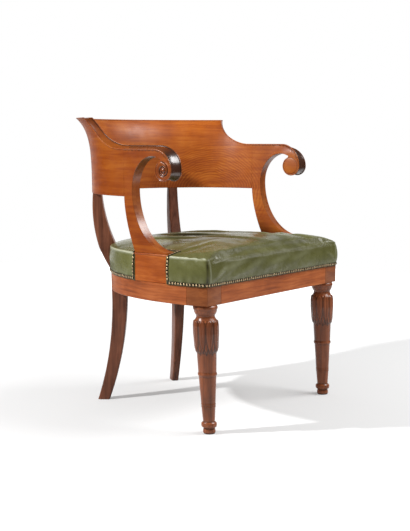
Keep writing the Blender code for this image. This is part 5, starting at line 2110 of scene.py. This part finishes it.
@dataclass(frozen=True)
class Nailing(Part):
    """Close rows of brass nails along the leather's hem and up the arm blocks."""

    seat: Seat
    pitch: float = 0.0090
    radius: float = 0.0039
    height: float = 0.0030
    inset: float = 0.0052
    clear: float = 0.0010
    past: float = 0.006
    behind: float = 0.004
    far: float = 0.03
    segments: int = 14
    rings: int = 8
    tilt: float = 0.10
    smallest: float = 0.93
    largest: float = 1.06
    seed: int = 7

    def hem(self) -> Pair:
        """Nails along the hem, clear of blocks and stiles.

        Returns:
            Places and outward directions.
        """
        ring = self.seat.plan.ring(self.seat.offset)
        closed = np.concatenate([ring, ring[:1]])
        run = run_length(closed)
        count = int(run[-1] / self.pitch)
        spots = (np.arange(count) + 0.5) * run[-1] / count
        level = np.stack([np.interp(spots, run, closed[:, axis]) for axis in (0, 1)], axis=1)
        along = unit(np.roll(level, -1, axis=0) - np.roll(level, 1, axis=0))
        points = levelled(level, self.seat.hem + self.inset)
        outward = np.stack([along[:, 1], -along[:, 0], 0.0 * spots], axis=1)
        free = ~self.seat.near_wood(points, self.inset + self.clear)
        return points[free], outward[free]

    def sides(self) -> Pair:
        """Nails up both edges of the right arm block and round the support's foot.

        Returns:
            Places and outward directions.
        """
        seat, arm, plan = self.seat, self.seat.arm, self.seat.plan
        levels = np.arange(seat.hem + self.inset + self.pitch, seat.edge + MILLIMETRE, self.pitch)
        within = arm.back.arm_thick + seat.slack + self.inset
        away = seat.block.proud + seat.slack + self.inset
        front, rear = arm.foot_front - away, arm.foot_rear + away
        points, outward = [], []
        for depth in (front, rear):
            ends = plan.half(np.array([depth - MILLIMETRE, depth + MILLIMETRE]))
            slope = float(ends[1] - ends[0]) / (2.0 * MILLIMETRE)
            for z in levels:
                points.append((float(plan.half(depth)) + seat.offset, depth, z))
                outward.append((1.0, -slope, 0.0))
        turn = [(front, inset) for inset in np.arange(0.0, within, self.pitch)]
        turn += [(depth, within) for depth in np.arange(front, rear + self.past, self.pitch)]
        turn += [(rear + self.behind, inset) for inset in np.arange(within - self.pitch, 0.0, -self.pitch)]
        for depth, inset in turn:
            points.append((*arm.point(np.array(depth), np.array(inset)), seat.edge + 0.01))
            outward.append((0.0, 0.0, 1.0))
        return np.array(points), unit(np.array(outward))

    def seated(self, leather: Object, points: Array, outward: Array) -> Pair:
        """Nails moved onto the leather.

        Args:
            leather: The seat.
            points: Rough places, in the chair's measure.
            outward: Rough directions out of the leather.

        Returns:
            Places and directions of those nails that meet the leather.
        """
        places, ways = [], []
        for point, way in zip(points, outward):
            start = Vector(point + self.far * way + self.shop.shift)
            hit, place, normal, _ = leather.ray_cast(start, Vector(-way), distance=2.0 * self.far)
            if hit and normal.dot(Vector(way)) > 0.5:
                places.append(np.array(place) - self.shop.shift)
                ways.append((normal + Vector(way)).normalized())
        return np.array(places), np.array(ways)

    def group(self) -> bpy.types.NodeTree:
        """Geometry nodes that put a nail on every point.

        Returns:
            The node group.
        """
        tree = bpy.data.node_groups.new("nailing", "GeometryNodeTree")
        kinds = {"Geometry": "Geometry", "Radius": "Float", "Flatness": "Float", "Seed": "Int",
                 "Finish": "Material"}
        for name, kind in kinds.items():
            tree.interface.new_socket(name, in_out="INPUT", socket_type=f"NodeSocket{kind}")
        tree.interface.new_socket("Geometry", in_out="OUTPUT", socket_type="NodeSocketGeometry")
        book = Tree(tree)
        given = book.add("NodeGroupInput", {}).outputs
        ball = book.add("GeometryNodeMeshUVSphere",
                        {"Segments": self.segments, "Rings": self.rings, "Radius": given["Radius"]})
        spot = book.add("GeometryNodeInputPosition", {}).outputs["Position"]
        level = book.add("ShaderNodeSeparateXYZ", {"Vector": spot}).outputs["Z"]
        rise = book.math("DIVIDE", level, given["Radius"])
        crest = book.add("GeometryNodeStoreNamedAttribute",
                         {"Geometry": ball.outputs["Mesh"], "Name": "crest", "Value": rise})
        flat = book.add("ShaderNodeCombineXYZ", {"X": 1.0, "Y": 1.0, "Z": given["Flatness"]})
        dome = book.add("GeometryNodeTransform",
                        {"Geometry": crest.outputs["Geometry"], "Scale": flat.outputs["Vector"]})
        outward = book.add("GeometryNodeInputNamedAttribute", {"Name": "outward"}, data_type="FLOAT_VECTOR")
        tilt = {"Min": (-self.tilt,) * 3, "Max": (self.tilt,) * 3, "Seed": given["Seed"]}
        wobble = book.add("FunctionNodeRandomValue", tilt, data_type="FLOAT_VECTOR")
        lean = book.add("ShaderNodeVectorMath",
                        {0: outward.outputs["Attribute"], 1: wobble.outputs["Value"]})
        turn = book.add("FunctionNodeAlignRotationToVector", {"Vector": lean.outputs["Vector"]}, axis="Z")
        size = book.add("FunctionNodeRandomValue",
                        {2: self.smallest, 3: self.largest, "Seed": given["Seed"]}, data_type="FLOAT")
        spread = book.add("GeometryNodeInstanceOnPoints",
                          {"Points": given["Geometry"], "Instance": dome.outputs["Geometry"],
                           "Rotation": turn.outputs["Rotation"], "Scale": size.outputs[1]})
        real = book.add("GeometryNodeRealizeInstances", {"Geometry": spread.outputs["Instances"]})
        finish = book.add("GeometryNodeSetMaterial",
                          {"Geometry": real.outputs["Geometry"], "Material": given["Finish"]})
        book.add("NodeGroupOutput", {"Geometry": finish.outputs["Geometry"]})
        return tree

    def build(self, leather: Object) -> None:
        """Make all the nails as one piece.

        Args:
            leather: The seat.
        """
        flip = np.array([-1.0, 1.0, 1.0])
        rough = [np.concatenate([hem, side, side * flip]) for hem, side in zip(self.hem(), self.sides())]
        points, outward = self.seated(leather, *rough)
        nails = self.shop.raw("brass_nails", Shape(points, []))
        ways = nails.data.attributes.new("outward", "FLOAT_VECTOR", "POINT")
        ways.data.foreach_set("vector", outward.astype(np.float32).ravel())
        step = nails.modifiers.new("nailing", "NODES")
        step.node_group = self.group()
        values = {"Radius": self.radius, "Flatness": self.height / self.radius, "Seed": self.seed,
                  "Finish": self.shop.finish(NAIL_BRASS)}
        for item in step.node_group.interface.items_tree:
            if item.in_out == "INPUT" and item.name in values:
                step[item.identifier] = values[item.name]
        self.shop.apply(nails)
        leftover = nails.data.attributes.get("outward")
        if leftover:
            nails.data.attributes.remove(leftover)
        log.info("%d nails", len(points))
        self.shop.dress(nails, NAIL_BRASS, "", [])


# Underside

@dataclass(frozen=True)
class Underside(Part):
    """Webbing and hessian below the stuffing, and the glue blocks and screws of the frame."""

    long_straps: Sequence[str] = tuple(f"long_webbing_{i}" for i in range(1, 5))
    cross_straps: Sequence[str] = tuple(f"cross_webbing_{i}" for i in range(1, 4))
    hessian: str = "seat_hessian"
    weld: float = 1e-5

    def copy(self, node: str, along: int) -> Object:
        """Copy of a node, with a map along its length.

        Args:
            node: The node.
            along: Axis that the cloth runs along.

        Returns:
            The copy, not dressed yet.
        """
        source = bpy.data.objects[node]
        mesh = source.data.copy()
        mesh.transform(source.matrix_world)
        fine = bmesh.new()
        fine.from_mesh(mesh)
        for layer in list(fine.loops.layers.uv.values()):
            fine.loops.layers.uv.remove(layer)
        bmesh.ops.remove_doubles(fine, verts=fine.verts, dist=self.weld)
        layer = fine.loops.layers.uv.new(Place.SURFACE.value)
        for face in fine.faces:
            for loop in face.loops:
                loop[layer].uv = (loop.vert.co[along], loop.vert.co[1 - along])
        fine.to_mesh(mesh)
        fine.free()
        return placed(node + "_woven", mesh)

    def declare(self, cloth: Object, width_axis: int, rests_on: Sequence[str]) -> None:
        """Work out a stretched cloth's flat size and its area; nothing is done with them.

        Args:
            cloth: The cloth.
            width_axis: Axis across it.
            rests_on: Nodes that carry it; not used.
        """
        box = np.array([tuple(corner) for corner in cloth.bound_box])
        size = box.max(axis=0) - box.min(axis=0)
        area = sum(face.area for face in cloth.data.polygons if face.normal.z > 0.5)
        flat = (float(size[width_axis]), float(size[1 - width_axis]))
        area = min(area, flat[0] * flat[1])

    def build(self) -> None:
        """Dress straps, hessian, glue blocks, tongues and screws."""
        runs = ((self.long_straps, 1, ("front_rail", "rear_rail")),
                (self.cross_straps, 0, ("left_side_rail", "right_side_rail")))
        for straps, along, rails in runs:
            for node in straps:
                strap = self.copy(node, along)
                self.shop.dress(strap, WEBBING_CLOTH, "webbing", [node])
                self.declare(strap, 1 - along, rails)
        cloth = self.copy(self.hessian, 0)
        self.shop.dress(cloth, HESSIAN_CLOTH, "hessian", [self.hessian])
        self.declare(cloth, 0, [*self.long_straps, *self.cross_straps])
        kinds = {("_block", "_tongue"): BLOCK_WOOD, ("_screw_1", "_screw_2"): SCREW_STEEL}
        for endings, finish in kinds.items():
            for node in list(bpy.context.scene.objects):
                if node.type == "MESH" and node.name.endswith(endings) and not node.hide_render:
                    node.data.materials.clear()
                    node.data.materials.append(self.shop.finish(finish))


# Studio

def hung(name: str, light: bpy.types.Light, place: Triple, front: float) -> Object:
    """Hang a lamp that the camera doesn't see.

    Args:
        name: The lamp's name.
        light: Its light.
        place: Its place, in the chair's measure.
        front: Where the front rail's face lies in the frame.

    Returns:
        The lamp.
    """
    lamp = placed(name, light)
    lamp.location = Vector(place) + Vector((0.0, front, 0.0))
    lamp.visible_camera = False
    return lamp


@dataclass(frozen=True)
class Bulb:
    """A small near lamp whose light spreads but doesn't fade with distance."""

    place: Triple
    strength: float
    radius: float

    def build(self, front: float) -> None:
        """Add the lamp.

        Args:
            front: Where the front rail's face lies in the frame.
        """
        light = bpy.data.lights.new("key", "POINT")
        light.energy = 4.0 * math.pi**2 * self.strength
        light.shadow_soft_size = self.radius
        light.use_nodes = True
        book = Tree(light.node_tree)
        fade = book.add("ShaderNodeLightFalloff", {"Strength": 1.0})
        book.feed(light.node_tree.nodes["Emission"].inputs["Strength"], fade.outputs["Constant"])
        hung("key", light, self.place, front)


@dataclass(frozen=True)
class Softbox:
    """A wide soft lamp turned to the chair."""

    place: Triple
    aim: Triple
    strength: float
    width: float
    height: float

    def build(self, front: float) -> None:
        """Add the lamp.

        Args:
            front: Where the front rail's face lies in the frame.
        """
        beam = Vector(self.aim) - Vector(self.place)
        light = bpy.data.lights.new("fill", "AREA")
        light.shape = "RECTANGLE"
        light.size = self.width
        light.size_y = self.height
        light.energy = (math.pi * beam.length) ** 2 * self.strength
        hung("fill", light, self.place, front).rotation_euler = beam.to_track_quat("-Z", "Y").to_euler()


@dataclass(frozen=True)
class Studio:
    """White studio: a floor that keeps the chair's shadow, soft lamps and the fitted camera."""

    front: float
    place: Triple = (-2.48, -1.647, 0.749)
    yaw: float = math.radians(52.69)
    pitch: float = math.radians(6.6)
    focal_pixels: float = 1112.1
    picture_pixels: float = 531.0
    sensor: float = 36.0
    floor_half: float = 3.0
    floor: float = 0.57
    floor_glow: float = 0.25
    floor_image: float = 0.80
    floor_near: float = 1.3
    floor_far: float = 2.4
    floor_bounce: float = 0.30
    floor_dark: float = 0.04
    sky: float = 0.45
    flag_half: float = math.radians(142.0)
    flag_rise: float = math.radians(18.0)
    flag_reach: float = 7.0
    flag_tone: float = 0.03
    lamps: Sequence[Bulb | Softbox] = (
        Bulb((-1.348, 0.938, 1.45), 0.92, 0.045),
        Softbox((1.45, -1.61, 2.80), (0.0, 0.28, 0.55), 0.95, 2.2, 1.3),
    )

    def world(self) -> None:
        """White for the camera and in reflections, dimmer as a light."""
        world = bpy.data.worlds.new("studio")
        bpy.context.scene.world = world
        world.use_nodes = True
        book = Tree(world.node_tree)
        back = world.node_tree.nodes["Background"]
        path = book.add("ShaderNodeLightPath", {}).outputs
        level = path["Is Camera Ray"]
        for ray in ("Is Glossy Ray", "Is Transmission Ray"):
            level = book.math("MAXIMUM", level, path[ray])
        book.feed(back.inputs["Color"], WHITE)
        book.feed(back.inputs["Strength"], book.span(level, 0.0, 1.0, self.sky, 1.0))

    def flag(self) -> None:
        """Dark flag overhead and all round the camera's side, seen in reflections only."""
        middle = math.atan2(self.place[1] + self.front, self.place[0])
        turn = np.linspace(middle - math.pi, middle + math.pi, 73)
        rise = np.linspace(-math.pi / 4.0, math.pi / 2.0, 28)
        across, up = np.meshgrid(turn, rise)
        dome = np.stack([np.cos(across) * np.cos(up), np.sin(across) * np.cos(up), np.sin(up)], axis=2)
        kept = []
        for face in grid_faces(len(rise), len(turn)):
            row, column = divmod(face[0], len(turn))
            if rise[row] >= self.flag_rise or abs(turn[column] - middle) < self.flag_half:
                kept.append(face)
        mesh = bpy.data.meshes.new("flag")
        mesh.from_pydata((dome * self.flag_reach).reshape(-1, 3).tolist(), [], kept)
        book = Palette("flag_cloth")
        tone = (self.flag_tone, self.flag_tone, self.flag_tone, 1.0)
        book.surface(base_color=tone, roughness=1.0, specular_ior_level=0.0)
        mesh.materials.append(book.material)
        flag = placed("flag", mesh)
        flag.visible_camera = flag.visible_diffuse = flag.visible_transmission = flag.visible_shadow = False

    def ground(self) -> None:
        """Near-white floor that throws less light back at the chair than it shows."""
        corners = np.array([(-1.0, -1.0, 0.0), (1.0, -1.0, 0.0), (1.0, 1.0, 0.0), (-1.0, 1.0, 0.0)])
        mesh = bpy.data.meshes.new("floor")
        mesh.from_pydata((self.floor_half * corners).tolist(), [], [(0, 1, 2, 3)])
        book = Palette("floor_paper")
        path = book.add("ShaderNodeLightPath", {}).outputs
        seen = path["Is Camera Ray"]
        away = book.length(book.place(Place.OBJECT))
        white = book.span(away, self.floor_near, self.floor_far, self.floor_glow, 1.0)
        levels = (self.floor, self.floor_bounce, self.floor_image, self.floor_dark)
        plain, bounce, bright, dark = ((level,) * 3 for level in levels)
        image = book.blend(book.span(away, self.floor_near, self.floor_far, 0.0, 1.0), bright, dark)
        colour = book.blend(seen, book.blend(path["Is Glossy Ray"], bounce, image), plain)
        book.surface(base_color=colour, roughness=1.0, specular_ior_level=0.0,
                     emission_color=WHITE, emission_strength=book.math("MULTIPLY", seen, white))
        mesh.materials.append(book.material)
        placed("floor", mesh)

    def camera(self) -> None:
        """Camera fitted to the photograph."""
        sine, cosine = math.sin(self.yaw), math.cos(self.yaw)
        level, fall = math.cos(self.pitch), math.sin(self.pitch)
        ahead = Vector((sine * level, cosine * level, -fall))
        right = Vector((cosine, -sine, 0.0))
        up = right.cross(ahead)
        data = bpy.data.cameras.new("camera")
        data.sensor_width = self.sensor
        data.lens = self.focal_pixels / self.picture_pixels * self.sensor
        camera = placed("camera", data)
        turn = Matrix((right, up, -ahead)).transposed().to_4x4()
        across, along, height = self.place
        camera.matrix_world = Matrix.Translation((across, along + self.front, height)) @ turn
        bpy.context.scene.camera = camera

    def build(self) -> None:
        """Set everything round the chair."""
        bpy.context.scene.view_settings.view_transform = "Standard"
        self.world()
        self.flag()
        self.ground()
        self.camera()
        for lamp in self.lamps:
            lamp.build(self.front)


TOP_FOLDS = (
    Fold((-0.064, 0.395), (0.006, 0.110), 0.0085, 0.0056, -0.026, crease=1.0),
    Fold((-0.165, 0.385), (-0.080, 0.150), 0.0095, 0.0040, -0.008, crease=0.60),
    Fold((0.020, 0.400), (0.090, 0.140), 0.0090, 0.0040, 0.010, crease=0.55),
    Fold((-0.110, 0.265), (0.060, 0.020), 0.0115, 0.0025, -0.012, crease=0.25),
    Fold((0.055, 0.290), (0.190, 0.035), 0.0120, 0.0025, 0.012, crease=0.20),
    Fold((0.130, 0.160), (0.245, -0.005), 0.0130, 0.0018, 0.008, crease=0.10),
)
FRONT_FOLDS = (
    Fold((-0.306, 0.384), (-0.215, 0.428), 0.0048, 0.0018, 0.004, crease=0.25),
    Fold((-0.290, 0.392), (-0.100, 0.436), 0.0085, 0.0016, 0.010, crease=0.30),
    Fold((-0.250, 0.392), (-0.010, 0.444), 0.0095, 0.0015, -0.006, crease=0.30),
    Fold((-0.130, 0.400), (0.110, 0.446), 0.0100, 0.0013, -0.006, crease=0.25),
    Fold((0.000, 0.404), (0.210, 0.450), 0.0095, 0.0011, -0.005, crease=0.25),
    Fold((-0.300, 0.430), (-0.180, 0.454), 0.0060, 0.0010, 0.003, crease=0.25),
    Fold((0.310, 0.388), (0.235, 0.426), 0.0060, 0.0012, -0.004, crease=0.15),
)


def corners(box: tuple[Vector, Vector]) -> list[list[float]]:
    """A box's two corners as plain lists."""
    return [[float(value) for value in corner] for corner in box]


def main() -> None:
    """Dress the frame and set the studio."""
    logging.basicConfig(level=logging.INFO, format="%(message)s")
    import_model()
    shop = Workshop(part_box("front_rail")[0].y)
    plan, back = SeatPlan(), Horseshoe(shop)
    arm = Arm(shop, back)
    block, leg, stile = ArmBlock(shop, arm), FrontLeg(shop, plan), RearLeg(shop, plan, back)
    for part in (back, arm, block, leg, stile, SeatFrame(shop, plan, leg, stile, block)):
        part.build()
    seat = Seat(shop, plan, arm, block, stile, top_folds=TOP_FOLDS, front_folds=FRONT_FOLDS)
    Nailing(shop, seat).build(seat.build())
    Underside(shop).build()
    Studio(shop.front).build()


if __name__ == "__main__":
    main()
